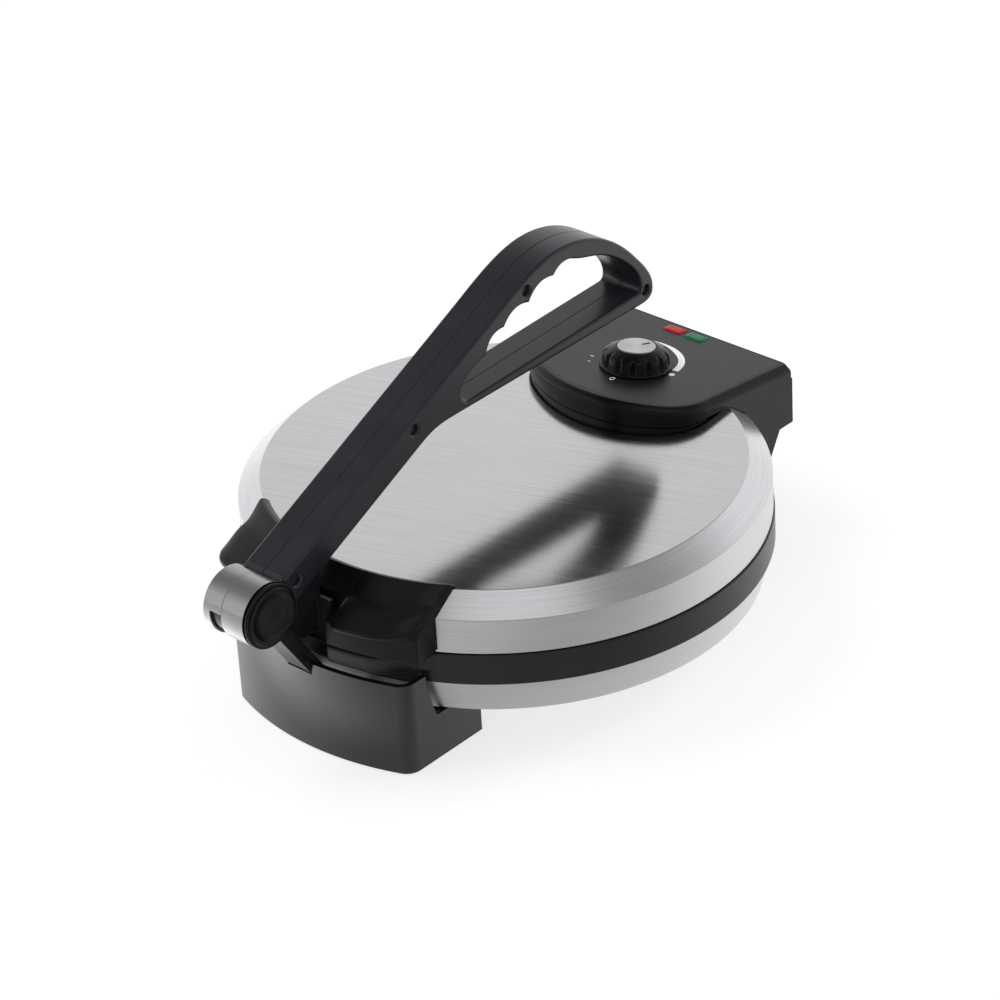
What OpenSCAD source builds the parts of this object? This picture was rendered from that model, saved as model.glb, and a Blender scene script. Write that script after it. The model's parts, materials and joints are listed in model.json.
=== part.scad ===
// Electric roti maker: a round two-plate press with a rear hinge, a tilted control
// housing on the lid and a long press lever on a steel barrel at the front.
// Side profiles are drawn as (distance behind the drum axis, height).

/* [Drum] */
// Outer radius of the lid's skirt, from which every reach and inset is measured
drum_r = 142; // [130:0.5:160]
// Width of the bevel between the skirt and the lid's flat top
bevel_w = 12.5; // [11:0.5:14]
// Thickness of the steel sheet
sheet_t = 1; // [0.8:0.1:1.2]
// Height of the lid's flat top
lid_top_z = 96.4; // [95.5:0.1:97]
// Height at which the bevel meets the skirt
bevel_z = 86; // [85:0.5:87]
// Height of the skirt's lower edge
skirt_z = 66.2; // [66.1:0.1:66.6]
// How far the black band stands out from the skirt
band_step = 0.8; // [0.5:0.1:1.2]
// Height of the band's top
band_top_z = 65.6; // [65.4:0.1:65.7]
// Height of the band's lower edge
band_low_z = 48; // [47:0.5:49]
// Height of the pan's lower edge
pan_low_z = 28.4; // [27.5:0.1:29.5]
// How far the pan draws in towards its lower edge
pan_taper = 4.8; // [4:0.1:6]

/* [Plates] */
// Distance from the skirt to the rims of both cooking plates
plate_inset = 15; // [14.5:0.5:18]
// Thickness of a plate between its rim and its bosses
plate_t = 5; // [4:0.5:6]
// Height of the lower cooking face above the table
cook_z = 65; // [64.5:0.1:65.2]
// Gap between the two cooking faces when the lid is shut
plate_gap = 1.6; // [1.4:0.1:2.2]
// Distance from a plate's rim to the heating ring's centre line
element_inset = 42; // [36:1:50]
// Radius of the heating ring's tube
element_tube_r = 3.3; // [2.8:0.1:3.8]
// Distance from a plate's rim to its three bosses
boss_inset = 72; // [66:1:80]

/* [Front handle] */
// How far the nose on the lid and on the base stands out from the skirt
nose_reach = 14; // [13:0.5:14.5]
// Half of the angle that the nose spans
nose_half_angle = 26; // [25:0.5:27]
// Half of the channel's width between the ears
channel_half = 16; // [15.5:0.5:17]
// Distance from the skirt to the channel's back wall
channel_reach = 4.2; // [4:0.1:4.5]
// How far the ears' lip stands out from the skirt
ear_reach = 21.5; // [20:0.5:23]
// Half of the width across both ears
ear_half = 65.5; // [64:0.5:67]
// Height of the ears' upper edge above the lid's top
ear_rise = 3.9; // [3:0.1:5]

/* [Feet] */
// How far the front foot's wall stands out from the skirt
foot_reach = 18; // [17.5:0.5:19]
// Half of the feet's width
foot_half = 63; // [61:0.5:64]
// Length of the front foot from its wall to its inner end
foot_len = 65.7; // [64:0.1:68]
// Wall of the feet
foot_wall = 3; // [2.5:0.1:3.5]
// Height of the front foot's rim
foot_top_z = 54; // [53:0.1:54.8]
// Rounding of the feet's corners
foot_corner_r = 9; // [8:1:12]
// How far the rear foot's upright wall stands out from the skirt
rear_wall_reach = 8; // [7.5:0.5:9]
// How far the rear foot's flared toe stands out from the skirt
rear_toe_reach = 19; // [17:0.5:20]
// Radius of a rubber pad
pad_r = 8; // [7.5:0.5:9]

/* [Lever] */
// Distance from the skirt to the barrel's axis
pivot_reach = 47.6; // [47:0.2:49]
// Height of the barrel's axis above the lid's top
pivot_rise = 3.9; // [3.6:0.1:4.6]
// Outer radius of the steel barrel
barrel_r = 17.5; // [17:0.1:17.8]
// Half of the barrel's length
barrel_half = 15.1; // [15:0.1:15.6]
// Wall of the barrel's two ferrules
ferrule_wall = 1.2; // [1:0.1:1.4]
// Radius of the pivot pin
pin_r = 4; // [3.5:0.1:4.5]
// Half of the lever's width
lever_half = 14; // [13.8:0.1:14.2]
// Rise of the lever's beam from level, in degrees
beam_angle = 25.4; // [25:0.1:25.8]
// Depth of the beam above the line through the pivot
beam_over = 8.3; // [8:0.1:9]
// Depth of the beam below the line through the pivot
beam_under = 9.7; // [9:0.1:10]
// Depth of the finger scallops in the grip
scallop_depth = 3.8; // [3:0.1:4.5]
// Half of the latch arm's width
arm_half = 8.2; // [8:0.1:8.4]
// Thickness of the latch arm
arm_t = 8; // [7.5:0.1:8.3]
// Length of the latch arm from the barrel's axis to its end
arm_len = 74.1; // [72:0.1:75]
// Fall of the latch arm from level, in degrees
arm_angle = 57.2; // [57:0.1:57.6]

/* [Control housing] */
// Half of the housing's width
housing_half = 60; // [58:0.5:61]
// How far the housing's back wall stands out from the skirt
housing_reach = 28; // [27.5:0.5:30]
// Length of the housing from front to back
housing_len = 110; // [108:0.5:112]
// Radius of the housing's bowed front
housing_bow_r = 85; // [82:1:90]
// Radius of the housing's front corners
housing_corner_r = 30; // [27:1:33]
// Wall of the housing
housing_wall = 3; // [2.5:0.1:3.5]
// Height of the panel's front edge above the lid's top
panel_rise = 14.1; // [14:0.1:15.5]
// Backward tilt of the panel, in degrees
panel_tilt = 6.6; // [6:0.1:7]
// Width of the rim round the panel
rim_w = 5.8; // [5.5:0.1:7]
// Radius of the knob
knob_r = 20; // [18:0.5:20.5]
// Height of the knob
knob_h = 12; // [11:0.5:13]
// Distance from the housing's back wall to the knob's axis
knob_set = 61.4; // [60:0.2:62]
// Sideways place of the knob's axis
knob_x = 0; // [-2:0.5:2]

/* [Hinge] */
// How far the hinge axis stands out from the skirt
hinge_reach = 1; // [1:0.1:1.6]
// Height of the hinge axis
hinge_z = 48; // [47.5:0.1:48.5]
// Outer radius of the hinge's knuckles and arms
hinge_hub_r = 6.5; // [6:0.1:6.6]
// Radius of the hinge pins
hinge_pin_r = 3; // [2.5:0.1:3.2]

/* [Hidden] */
$fn = 96;
// Gaps: between pieces fixed to each other, of a press fit, of a running fit, between
// pieces that move past each other. A cut runs past the face it opens.
seat = 0.1;
press = 0.02;
fit = 0.05;
clear = 0.3;
past = 1;
// Drum and plates.
band_r = drum_r + band_step;
band_lap = 1.5;
pan_out_r = band_r - band_lap;
pan_low_r = pan_out_r - pan_taper;
pan_floor_w = 17;
flange_top_z = band_top_z - 3.2;
top_flat_r = drum_r - bevel_w;
plate_r = drum_r - plate_inset;
upper_cook_z = cook_z + plate_gap;
well_r = plate_r + 2.2;
plate_rim_drop = 7;
rim_ring_w = 5;
boss_ring_r = plate_r - boss_inset;
boss_drop = 9;
boss_r = 5;
stud_r = 1.55;
stud_depth = 4.5;
element_ring_r = plate_r - element_inset;
element_gap_angle = 18;
leg_drop = 20;
tab_len = 5;
reflector_t = 0.8;
reflector_drop = 14.5;
spacer_r = 4;
// Screws: head, thread, and the hole that lets the thread through.
head_r = 3;
head_h = 1.8;
thread_r = 1.45;
through_r = 1.8;
bite = 6;
reflector_r = drum_r - sheet_t - head_h - past;
// Cover and feet.
cover_z = pan_low_z - sheet_t - seat;
vent_l = 9;
vent_w = 3.2;
deck_z = cover_z - seat;
deck_t = 3;
foot_low_z = 1;
rib_x = 22;
rib_z = 20;
pad_h = 4;
pad_x = 44;
pad_y = drum_r - 10;
post_r = 6;
foot_screw_r = drum_r - 16;
foot_screw_x = 28;
foot_r = drum_r + foot_reach;
foot_inner_y = foot_r - foot_len;
front_gap = 5.6;
rear_wall_y = drum_r + rear_wall_reach;
rear_toe_y = drum_r + rear_toe_reach;
toe_z = [7, 14, 17];
// Hinge.
hinge_y = drum_r + hinge_reach;
knuckle_x0 = 43;
knuckle_x1 = 51.6;
arm_x0 = knuckle_x1 + 0.4;
pin_x0 = knuckle_x0 + 0.6;
pin_x1 = housing_half - 1.5;
// Nose and ears.
nose_r = drum_r + nose_reach;
nose_low_z = band_low_z + 8;
nose_fall = 6.5;
nose_wall = 3.5;
nose_mid_angle = 15.8;
pocket_angles = [9.4, 22];
channel_back = drum_r + channel_reach;
ear_r = drum_r + ear_reach;
ear_half_angle = 34;
ear_corner_r = 9;
ear_lap = 2.4;
ear_crest = 3;
scoop_in = 17;
scoop_drop = 8.8;
lip_in = 1.6;
lip_drop = 16.2;
lip_t = 3.8;
handle_screw_angle = 16;
handle_screw_z = 73;
// Lever, barrel and bracket; the outline's points lie about the barrel's axis.
pivot_y = drum_r + pivot_reach;
pivot_z = lid_top_z + pivot_rise;
beam_end = 115;
heel = [140, 49.3];
tail_low = [289.6, 49.9];
tail = [299.6, 58.3];
shoulder = [287.6, 78.7];
crown = [227.6, 109.7];
crown_start = 169.6;
hole_low = [152.3, 53.2];
hole_nose = [147, 62.5];
scallops = [[220.9, 96.2], [201.3, 89], [181.5, 83], [167, 73.1]];
hole_top = [238, 99];
hole_bend = [266, 88.6];
hole_tail = [289, 61];
hole_end = [285.6, 57.7];
lever_screw_places = [[20.6, 9.9], [111, 54.6], [199.2, 96.6], [292.9, 57.3]];
lever_edge = 1.2;
recess_r = 2.6;
recess_depth = 4;
ring_in = barrel_r - ferrule_wall;
split_x = -2.45;
slot_x = -10.5;
slot_low = -40;
slot_high = 172;
cheek_x = 12.8;
cap_x0 = lever_half + seat;
cap_x1 = 16.6;
cap_rim_w = 1.7;
cradle_r = 20.5;
cradle_low = -39;
cradle_high = 52;
far = 60;
arm_drop = 3.3;
web_half = 6;
web_r = cradle_r + 0.7;
web_gap = 1.2;
notch_gap = 0.4;
flange_t = 3;
flange_low_z = skirt_z + 2.8;
flange_h = 20;
bracket_screw_x = 10.5;
bracket_screw_z = [74.6, 82];
// Control housing.
housing_back_y = drum_r + housing_reach;
housing_front_y = housing_back_y - housing_len;
panel_z = lid_top_z + panel_rise;
housing_low_z = skirt_z - 4.2;
seam_drop = 8.2;
seam_gap = 0.8;
tier_set = 1.2;
groove = 0.9;
band_gap = 0.8;
rim_steps = [[0, 5], [0.5, 3], [1.3, 1.6], [2.6, 0.6], [4.6, 0]];
back_round = 1.2;
back_rim_w = 1.6;
ledge_w = 1.8;
recess_t = 1.8;
apron_y = drum_r - 34;
back_room = 22;
housing_screw_x = 38;
housing_screw_y = housing_back_y - 62;
wire_y = housing_back_y - 78;
wire_r = 6;
knob_y = housing_back_y - knob_set;
shaft_r = 3;
shaft_low = 5.8;
skirt_t = 1.6;
flute_r = 2.6;
cap_r = 10.8;
shoulder_drop = 4;
shoulder_w = 2.4;
cap_t = 1.4;
thermostat_w = 22;
thermostat_l = 18;
thermostat_h = 4.2;
lens_y = housing_back_y - 7.8;
lens_w = 12.6;
lens_d = 7.6;
lens_h = 3.2;
lens_lip = 0.6;
red_x = -16.2;
green_x = -1;
bulb_r = 2.4;
bulb_h = 5;
gland_x = 34;
gland_z = 78;
gland_r = 6.5;
gland_neck_r = 5;
gland_bore_r = 3.4;
gland_flange_t = 1.6;
// Shift that puts the middle of the whole part's box over the origin.
drum_y = (pivot_y + barrel_r - housing_back_y - gland_flange_t) / 2;

// ---- shared shapes ----
function bez(a, b, c, d, n = 10) = [for (i = [0:n]) let (t = i / n, u = 1 - t)
    u * u * u * a + 3 * u * u * t * b + 3 * u * t * t * c + t * t * t * d];

// A shallow arch from p to q that stands off their chord by sag at its middle.
function arch(p, q, sag, n = 8) = let (run = q - p, side = [run.y, -run.x] / norm(run))
    [for (i = [0:n]) let (t = i / n) p + t * run + 4 * sag * t * (1 - t) * side];

module at_drum() translate([0, drum_y, 0]) children();

// Turns a profile of (distance from the drum axis, height) through an angle at the front.
module front_sector(half) rotate([0, 0, -90 - half]) rotate_extrude(angle = 2 * half) children();

// Extrudes a side profile of (y, z) from x0 to x1.
module across(x0, x1) translate([x0, 0, 0]) rotate([90, 0, 90])
    linear_extrude(x1 - x0) children();

// Plan area with a bowed front, rounded front corners and straight sides.
module bow(front_r, half_w, corner_r, back) {
    cx = half_w - corner_r;
    cy = -sqrt(pow(front_r - corner_r, 2) - cx * cx);
    k = front_r / (front_r - corner_r) * 1.2;
    intersection() {
        circle(front_r);
        polygon([[-cx, cy], [cx, cy], [k * cx, k * cy], [-k * cx, k * cy]]);
    }
    for (s = [-1, 1]) translate([s * cx, cy]) circle(corner_r);
    polygon([[-half_w, cy], [half_w, cy], [half_w, back], [-half_w, back]]);
}

module screw(head, head_len, shank, length) {
    cylinder(r = head, h = head_len);
    translate([0, 0, head_len]) cylinder(r = shank, h = length);
}

module three_bosses() for (a = [30, 150, 270])
    rotate([0, 0, a]) translate([boss_ring_r, 0, 0]) children();

module lower_stack() translate([0, 0, cook_z]) children();
module upper_stack() translate([0, 0, upper_cook_z]) mirror([0, 0, 1]) children();

// ---- heating stack, drawn with its cooking face at height 0 ----
module cooking_plate() difference() {
    union() {
        rotate_extrude() polygon([[0, 0], [plate_r - 1, 0], [plate_r, -1],
            [plate_r, -plate_rim_drop], [plate_r - rim_ring_w, -plate_rim_drop],
            [plate_r - rim_ring_w - 2, -plate_t], [0, -plate_t]]);
        three_bosses() translate([0, 0, -boss_drop]) cylinder(r = boss_r, h = boss_drop - 1);
    }
    three_bosses() translate([0, 0, -boss_drop - past]) cylinder(r = stud_r + fit, h = stud_depth + past);
}

module heating_ring() {
    ring_z = -plate_t - element_tube_r - seat;
    rotate([0, 0, 90 + element_gap_angle]) rotate_extrude(angle = 360 - 2 * element_gap_angle)
        translate([element_ring_r, ring_z]) circle(element_tube_r);
    for (s = [-1, 1]) rotate([0, 0, 90 + s * element_gap_angle]) translate([element_ring_r, 0, 0]) {
        translate([0, 0, ring_z]) sphere(element_tube_r);
        translate([0, 0, -leg_drop]) cylinder(r = element_tube_r, h = leg_drop + ring_z);
        translate([0, 0, -leg_drop - tab_len]) cylinder(r = element_tube_r / 3, h = tab_len);
    }
}

module reflector_dish() {
    flange_z = cook_z - flange_top_z + sheet_t + seat;
    floor_z = -reflector_drop;
    difference() {
        rotate_extrude() polygon([[0, floor_z], [well_r, floor_z], [well_r, -flange_z],
            [reflector_r, -flange_z], [reflector_r, -flange_z - reflector_t],
            [well_r + reflector_t, -flange_z - reflector_t],
            [well_r + reflector_t, floor_z - reflector_t], [0, floor_z - reflector_t]]);
        three_bosses() translate([0, 0, floor_z - reflector_t - past])
            cylinder(r = stud_r + clear, h = reflector_t + 2 * past);
        for (s = [-1, 1]) rotate([0, 0, 90 + s * element_gap_angle])
            translate([element_ring_r, 0, floor_z - reflector_t - past])
                cylinder(r = element_tube_r + clear, h = reflector_t + 2 * past);
    }
}

module plate_spacers() three_bosses() translate([0, 0, -reflector_drop + seat]) difference() {
    cylinder(r = spacer_r, h = reflector_drop - boss_drop - 2 * seat);
    translate([0, 0, -past]) cylinder(r = stud_r + clear, h = reflector_drop);
}

module plate_screws() three_bosses()
    translate([0, 0, -reflector_drop - reflector_t - seat - head_h])
        screw(head_r, head_h, stud_r, reflector_drop + reflector_t - boss_drop + stud_depth - past);

module lower_plate() color("#4a4b4e") at_drum() lower_stack() cooking_plate();
module upper_plate() color("#4a4b4e") at_drum() upper_stack() cooking_plate();
module lower_element() color("#5f5a55") at_drum() lower_stack() heating_ring();
module upper_element() color("#5f5a55") at_drum() upper_stack() heating_ring();
module lower_reflector() color("#a9abad") at_drum() lower_stack() reflector_dish();
module upper_reflector() color("#a9abad") at_drum() upper_stack() reflector_dish();
module lower_spacers() color("#8e8f92") at_drum() lower_stack() plate_spacers();
module upper_spacers() color("#8e8f92") at_drum() upper_stack() plate_spacers();
module lower_plate_screws() color("#b9b9bb") at_drum() lower_stack() plate_screws();
module upper_plate_screws() color("#b9b9bb") at_drum() upper_stack() plate_screws();

// ---- base ----
module cover_screw_places() for (a = [0, 180]) rotate([0, 0, a])
    translate([foot_screw_r, 0, 0]) children();

module foot_screw_places(sides = [-1, 1]) for (sy = sides, sx = [-1, 1])
    translate([sx * foot_screw_x, sy * sqrt(pow(foot_screw_r, 2) - pow(foot_screw_x, 2)), 0])
        children();

module floor_screw_holes(z) translate([0, 0, z - past]) {
    cover_screw_places() cylinder(r = through_r, h = sheet_t + 2 * past);
    foot_screw_places() cylinder(r = through_r, h = sheet_t + 2 * past);
}

module base_pan() color("#c9cacb") at_drum() difference() {
    rotate_extrude() polygon([[pan_low_r - pan_floor_w, pan_low_z], [pan_low_r - 1, pan_low_z],
        [pan_low_r, pan_low_z + 1], [pan_out_r, band_low_z - 0.3], [pan_out_r, flange_top_z],
        [well_r + 4, flange_top_z], [well_r + 4, flange_top_z - sheet_t],
        [pan_out_r - sheet_t, flange_top_z - sheet_t], [pan_out_r - sheet_t, band_low_z - 0.3],
        [pan_low_r - sheet_t, pan_low_z + 1 + sheet_t], 
        [pan_low_r - pan_floor_w, pan_low_z + sheet_t]]);
    floor_screw_holes(pan_low_z);
}

module trim_band() color("#1b1b1d") at_drum() difference() {
    union() {
        rotate_extrude() polygon([[pan_out_r + seat, band_low_z], [band_r - 0.5, band_low_z],
            [band_r, band_low_z + 0.6], [band_r, band_top_z - 0.8], [band_r - 0.8, band_top_z],
            [well_r + rim_ring_w, band_top_z], [well_r - 0.9, cook_z - 0.6],
            [well_r - 0.9, flange_top_z + seat], [pan_out_r + seat, flange_top_z + seat]]);
        front_sector(nose_half_angle - 0.5) polygon([[band_r - 1, nose_low_z],
            [nose_r - 2, nose_low_z], [nose_r - 0.6, nose_low_z + 0.6], [nose_r, nose_low_z + 2],
            [nose_r, band_top_z - 1], [nose_r - 1, band_top_z], [band_r - 1, band_top_z]]);
    }
    translate([-channel_half, -nose_r - past, band_low_z + past])
        cube([2 * channel_half, nose_r + past - band_r - 0.7, band_top_z - band_low_z]);
    for (s = [-1, 1]) rotate([0, 0, s * nose_mid_angle]) front_sector(8)
        translate([band_r + band_lap, nose_low_z - past])
            square([nose_r - band_r - 4, band_top_z - nose_low_z - 1.5]);
}

module bottom_cover() color("#6f7174") at_drum() difference() {
    translate([0, 0, cover_z]) cylinder(r = pan_low_r - 3, h = sheet_t);
    floor_screw_holes(cover_z);
    for (ring = [30:14:72], a = [0:30:359]) rotate([0, 0, a])
        translate([ring, -vent_w / 2, cover_z - past]) cube([vent_l, vent_w, sheet_t + 2 * past]);
}

module cover_screws() color("#8e8f92") at_drum() cover_screw_places()
    translate([0, 0, cover_z - seat - head_h]) screw(head_r, head_h, thread_r, bite);

// Pan's outline grown by a gap, which cuts the feet's upper edges.
module pan_space(gap) rotate_extrude() polygon([[0, deck_z], [pan_low_r + gap - 1, deck_z],
    [pan_low_r + gap, pan_low_z + 1], [pan_out_r + gap, band_low_z],
    [pan_out_r + gap, band_low_z + far], [0, band_low_z + far]]);

module foot_outline(inset) bow(foot_r - inset, foot_half - inset, foot_corner_r - inset,
    -foot_inner_y - inset);

module pad_posts(y) for (s = [-1, 1]) translate([s * pad_x, y, 0]) children();

module front_foot() color("#17171a") at_drum() difference() {
    union() {
        difference() {
            translate([0, 0, foot_low_z]) linear_extrude(foot_top_z - foot_low_z) foot_outline(0);
            translate([0, 0, -1]) linear_extrude(foot_top_z + 2) foot_outline(foot_wall);
        }
        translate([0, 0, deck_z - deck_t]) linear_extrude(deck_t) intersection() {
            foot_outline(foot_wall / 2);
            circle(pan_low_r - 2);
        }
        pad_posts(-pad_y) translate([0, 0, pad_h - 1]) cylinder(r = post_r, h = deck_z - pad_h);
        for (s = [-1, 1]) across(s * rib_x - 1, s * rib_x + 1) polygon([[-foot_r + 2, 2 * rib_z],
            [-foot_r + 2, rib_z], [-foot_inner_y - 1, rib_z], [-foot_inner_y - 1, deck_z - 1],
            [-pad_y - 2, deck_z - 1]]);
    }
    pan_space(front_gap);
    arm_notch();
    foot_screw_places([-1]) translate([0, 0, deck_z - 5]) cylinder(r = through_r, h = 8);
}

// Slot in the foot's wall that the latch arm drops into.
module arm_notch() across(-arm_half - notch_gap, arm_half + notch_gap) union() {
    arm_side(notch_gap);
    polygon([[-foot_r - 6, foot_top_z - 4.5], [-foot_r - 6, foot_top_z + 5],
        [-foot_r + 10, foot_top_z + 5], [-foot_r + 10, foot_top_z - 4.5]]);
}

module rear_foot() color("#17171a") at_drum() difference() {
    union() {
        intersection() {
            across(-foot_half, foot_half) polygon([[foot_inner_y, foot_low_z],
                [rear_toe_y, foot_low_z], [rear_toe_y, toe_z[0]], [rear_toe_y - 4, toe_z[1]],
                [rear_wall_y, toe_z[2]], [rear_wall_y, pan_low_z + 1.6],
                [foot_inner_y, pan_low_z + 1.6]]);
            mirror([0, 1, 0]) translate([0, 0, foot_low_z]) linear_extrude(far)
                bow(rear_toe_y + 3, foot_half, foot_corner_r, -foot_inner_y);
        }
        for (s = [-1, 1]) scale([s, 1, 1]) across(knuckle_x0, knuckle_x1) union() {
            translate([hinge_y, hinge_z]) circle(hinge_hub_r);
            polygon([[hinge_y - 4, rib_z], [hinge_y + hinge_hub_r, rib_z],
                [hinge_y + hinge_hub_r, hinge_z], [hinge_y - 4, hinge_z]]);
        }
    }
    intersection() {
        across(-foot_half + foot_wall, foot_half - foot_wall) polygon([
            [foot_inner_y + foot_wall, -past], [rear_toe_y - foot_wall, -past],
            [rear_toe_y - foot_wall, toe_z[0] - 1], [rear_toe_y - foot_wall - 4, toe_z[1] - foot_wall],
            [rear_wall_y - foot_wall, toe_z[2] - foot_wall], [rear_wall_y - foot_wall, deck_z - deck_t],
            [foot_inner_y + foot_wall, deck_z - deck_t]]);
        mirror([0, 1, 0]) translate([0, 0, -past]) linear_extrude(far)
            bow(rear_toe_y + 3 - foot_wall, foot_half - foot_wall, foot_corner_r - foot_wall,
                -foot_inner_y - foot_wall);
        difference() {
            translate([-foot_half, 0, -past]) cube([2 * foot_half, 2 * drum_r, far]);
            pad_posts(pad_y) translate([0, 0, pad_h - 1]) cylinder(r = post_r, h = far);
        }
    }
    pan_space(0.5);
    foot_screw_places([1]) translate([0, 0, deck_z - 5]) cylinder(r = through_r, h = 8);
    translate([-foot_half, hinge_y, hinge_z]) rotate([0, 90, 0])
        cylinder(r = hinge_pin_r + press, h = 2 * foot_half);
}

module foot_screws() color("#8e8f92") at_drum() foot_screw_places()
    translate([0, 0, deck_z - deck_t - seat - head_h]) screw(head_r, head_h, thread_r, deck_t + bite);

module foot_pads() color("#202022") at_drum() for (y = [-pad_y, pad_y]) pad_posts(y)
    difference() {
        cylinder(r1 = pad_r - 1, r2 = pad_r, h = pad_h);
        translate([0, 0, pad_h - 1 - seat]) cylinder(r = post_r + fit, h = pad_h);
    }

module hinge_pins() color("#c2c3c5") at_drum() for (s = [-1, 1])
    scale([s, 1, 1]) translate([pin_x0, hinge_y, hinge_z]) rotate([0, 90, 0])
        cylinder(r = hinge_pin_r, h = pin_x1 - pin_x0);

// ---- lid ----
module radial_hole(angle, z, r, r_in, r_out) rotate([0, 0, angle - 90]) translate([r_in, 0, z])
    rotate([0, 90, 0]) cylinder(r = r, h = r_out - r_in);

module bracket_screw_holes(r, y_out, y_in) for (sx = [-1, 1], z = bracket_screw_z)
    translate([sx * bracket_screw_x, -y_out, z]) rotate([-90, 0, 0])
        cylinder(r = r, h = y_out - y_in);

module housing_screw_places() for (s = [-1, 1])
    translate([s * housing_screw_x, housing_screw_y, 0]) children();

module lid_shell() color("#c9cacb") at_drum() difference() {
    rotate_extrude() polygon([[0, lid_top_z], [top_flat_r, lid_top_z], [drum_r, bevel_z],
        [drum_r, skirt_z], [drum_r - sheet_t, skirt_z], [drum_r - sheet_t, bevel_z - 0.4],
        [top_flat_r - 0.4, lid_top_z - sheet_t], [0, lid_top_z - sheet_t]]);
    for (s = [-1, 1])
        radial_hole(s * handle_screw_angle, handle_screw_z, through_r, drum_r - bite, drum_r + past);
    bracket_screw_holes(through_r, drum_r + past, drum_r - bite);
    housing_screw_places() translate([0, 0, lid_top_z - bite]) cylinder(r = through_r, h = 2 * bite);
    translate([0, wire_y, lid_top_z - bite]) cylinder(r = wire_r, h = 2 * bite);
}

module lid_rim() color("#1b1b1d") at_drum() rotate_extrude() polygon([
    [plate_r + 1.3, skirt_z + 1.2], [plate_r + 2.2, skirt_z + 0.3], [drum_r - sheet_t - seat,
    skirt_z + 0.3], [drum_r - sheet_t - seat, skirt_z + 3.6], [well_r + 4, skirt_z + 3.6],
    [well_r + 2, skirt_z + 2.3], [plate_r + 1.3, skirt_z + 2.3]]);

// Outline of an ear from the lid's top over the scooped thumb rest to the lip.
function ear_profile() = let (top = lid_top_z + ear_rise, low = skirt_z + past,
        start = top_flat_r - ear_lap, crest = top_flat_r + ear_crest,
        scoop = [ear_r - scoop_in, top - scoop_drop], lip = [ear_r - lip_in, top - lip_drop],
        tip = [ear_r - 2.2, lip.y - lip_t]) concat(
    [[drum_r + clear, low], [drum_r + clear, bevel_z + 0.2],
        [top_flat_r + seat, lid_top_z + clear], [start, lid_top_z + clear]],
    bez([start, lid_top_z + clear], [start + 1.4, top - 1.6], [crest - 1.8, top], [crest, top], 5),
    bez([crest + 0.4, top - 0.2], [crest + 4.5, top - 3.6], [scoop.x - 6.5, scoop.y + 0.8], scoop),
    bez(scoop, [scoop.x + 5.5, scoop.y - 0.7], [lip.x - 4.9, lip.y + 2.2], lip),
    bez(lip, [ear_r, lip.y - 1], [ear_r + 0.2, lip.y - 3.2], tip, 5),
    [[nose_r - 2, tip.y - 1.4], [nose_r - 3, low]]);

// Plan area of one ear between two distances from the middle, with rounded front corners.
module ear_plan(front_r, x0, x1, corner_r) {
    inner = [x0 + corner_r, -sqrt(pow(front_r - corner_r, 2) - pow(x0 + corner_r, 2))];
    outer = [x1 - corner_r, -sqrt(pow(front_r - corner_r, 2) - pow(x1 - corner_r, 2))];
    k = front_r / (front_r - corner_r) * 1.2;
    intersection() {
        circle(front_r);
        polygon([inner, outer, k * outer, k * inner]);
    }
    for (place = [inner, outer]) translate(place) circle(corner_r);
    polygon([[x0, inner.y], inner, outer, [x1, outer.y], [x1, -top_flat_r / 2], [x0, -top_flat_r / 2]]);
}

module lid_handle() color("#1f1f22") at_drum() difference() {
    union() {
        intersection() {
            front_sector(ear_half_angle) polygon(ear_profile());
            translate([0, 0, skirt_z - past]) linear_extrude(far) for (s = [-1, 1]) scale([s, 1])
                ear_plan(ear_r + 0.5, channel_half - clear, ear_half, ear_corner_r);
        }
        front_sector(nose_half_angle) polygon([[drum_r + clear + past, skirt_z + seat],
            [nose_r - 1, skirt_z + seat], [nose_r, skirt_z + 1 + seat], [nose_r, bevel_z - nose_fall],
            [nose_r - 6, bevel_z - 1], [drum_r + clear + past, bevel_z - 1]]);
    }
    translate([-channel_half, -ear_r - past, skirt_z - past])
        cube([2 * channel_half, ear_r + past - channel_back, far]);
    for (s = [-1, 1], a = pocket_angles) rotate([0, 0, s * a]) front_sector(2.6)
        translate([drum_r + nose_wall, skirt_z - past])
            square([nose_r - drum_r - 2 * nose_wall + 0.5, bevel_z - nose_fall - skirt_z - nose_wall]);
    for (s = [-1, 1])
        radial_hole(s * handle_screw_angle, handle_screw_z, thread_r + fit, drum_r - past, drum_r + 10);
    bracket_screw_holes(through_r, channel_back + past, drum_r - past);
}

module handle_screws() color("#b9b9bb") at_drum() for (s = [-1, 1])
    rotate([0, 0, s * handle_screw_angle - 90]) translate([drum_r - sheet_t - seat - head_h, 0,
        handle_screw_z]) rotate([0, 90, 0]) screw(head_r, head_h, thread_r, 10);

// Depth inside the skirt at which a flat head clears the curved sheet.
function bracket_head_y() = sqrt(pow(drum_r - sheet_t, 2) - pow(bracket_screw_x + head_r, 2)) - seat;

module bracket_screws() color("#b9b9bb") at_drum() for (sx = [-1, 1], z = bracket_screw_z)
    translate([sx * bracket_screw_x, head_h - bracket_head_y(), z]) rotate([90, 0, 0])
        screw(head_r, head_h, thread_r, channel_back - bracket_head_y() + flange_t - 0.6);

// ---- latch bracket and barrel, side profiles about the barrel's axis ----
module at_pivot() translate([-pivot_y, pivot_z]) children();

module arm_side(gap) at_pivot() rotate(-arm_angle) {
    translate([0, -arm_drop - gap]) square([arm_len, arm_t + 2 * gap]);
    translate([arm_len, arm_t / 2 - arm_drop]) circle(arm_t / 2 + gap);
}

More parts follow.
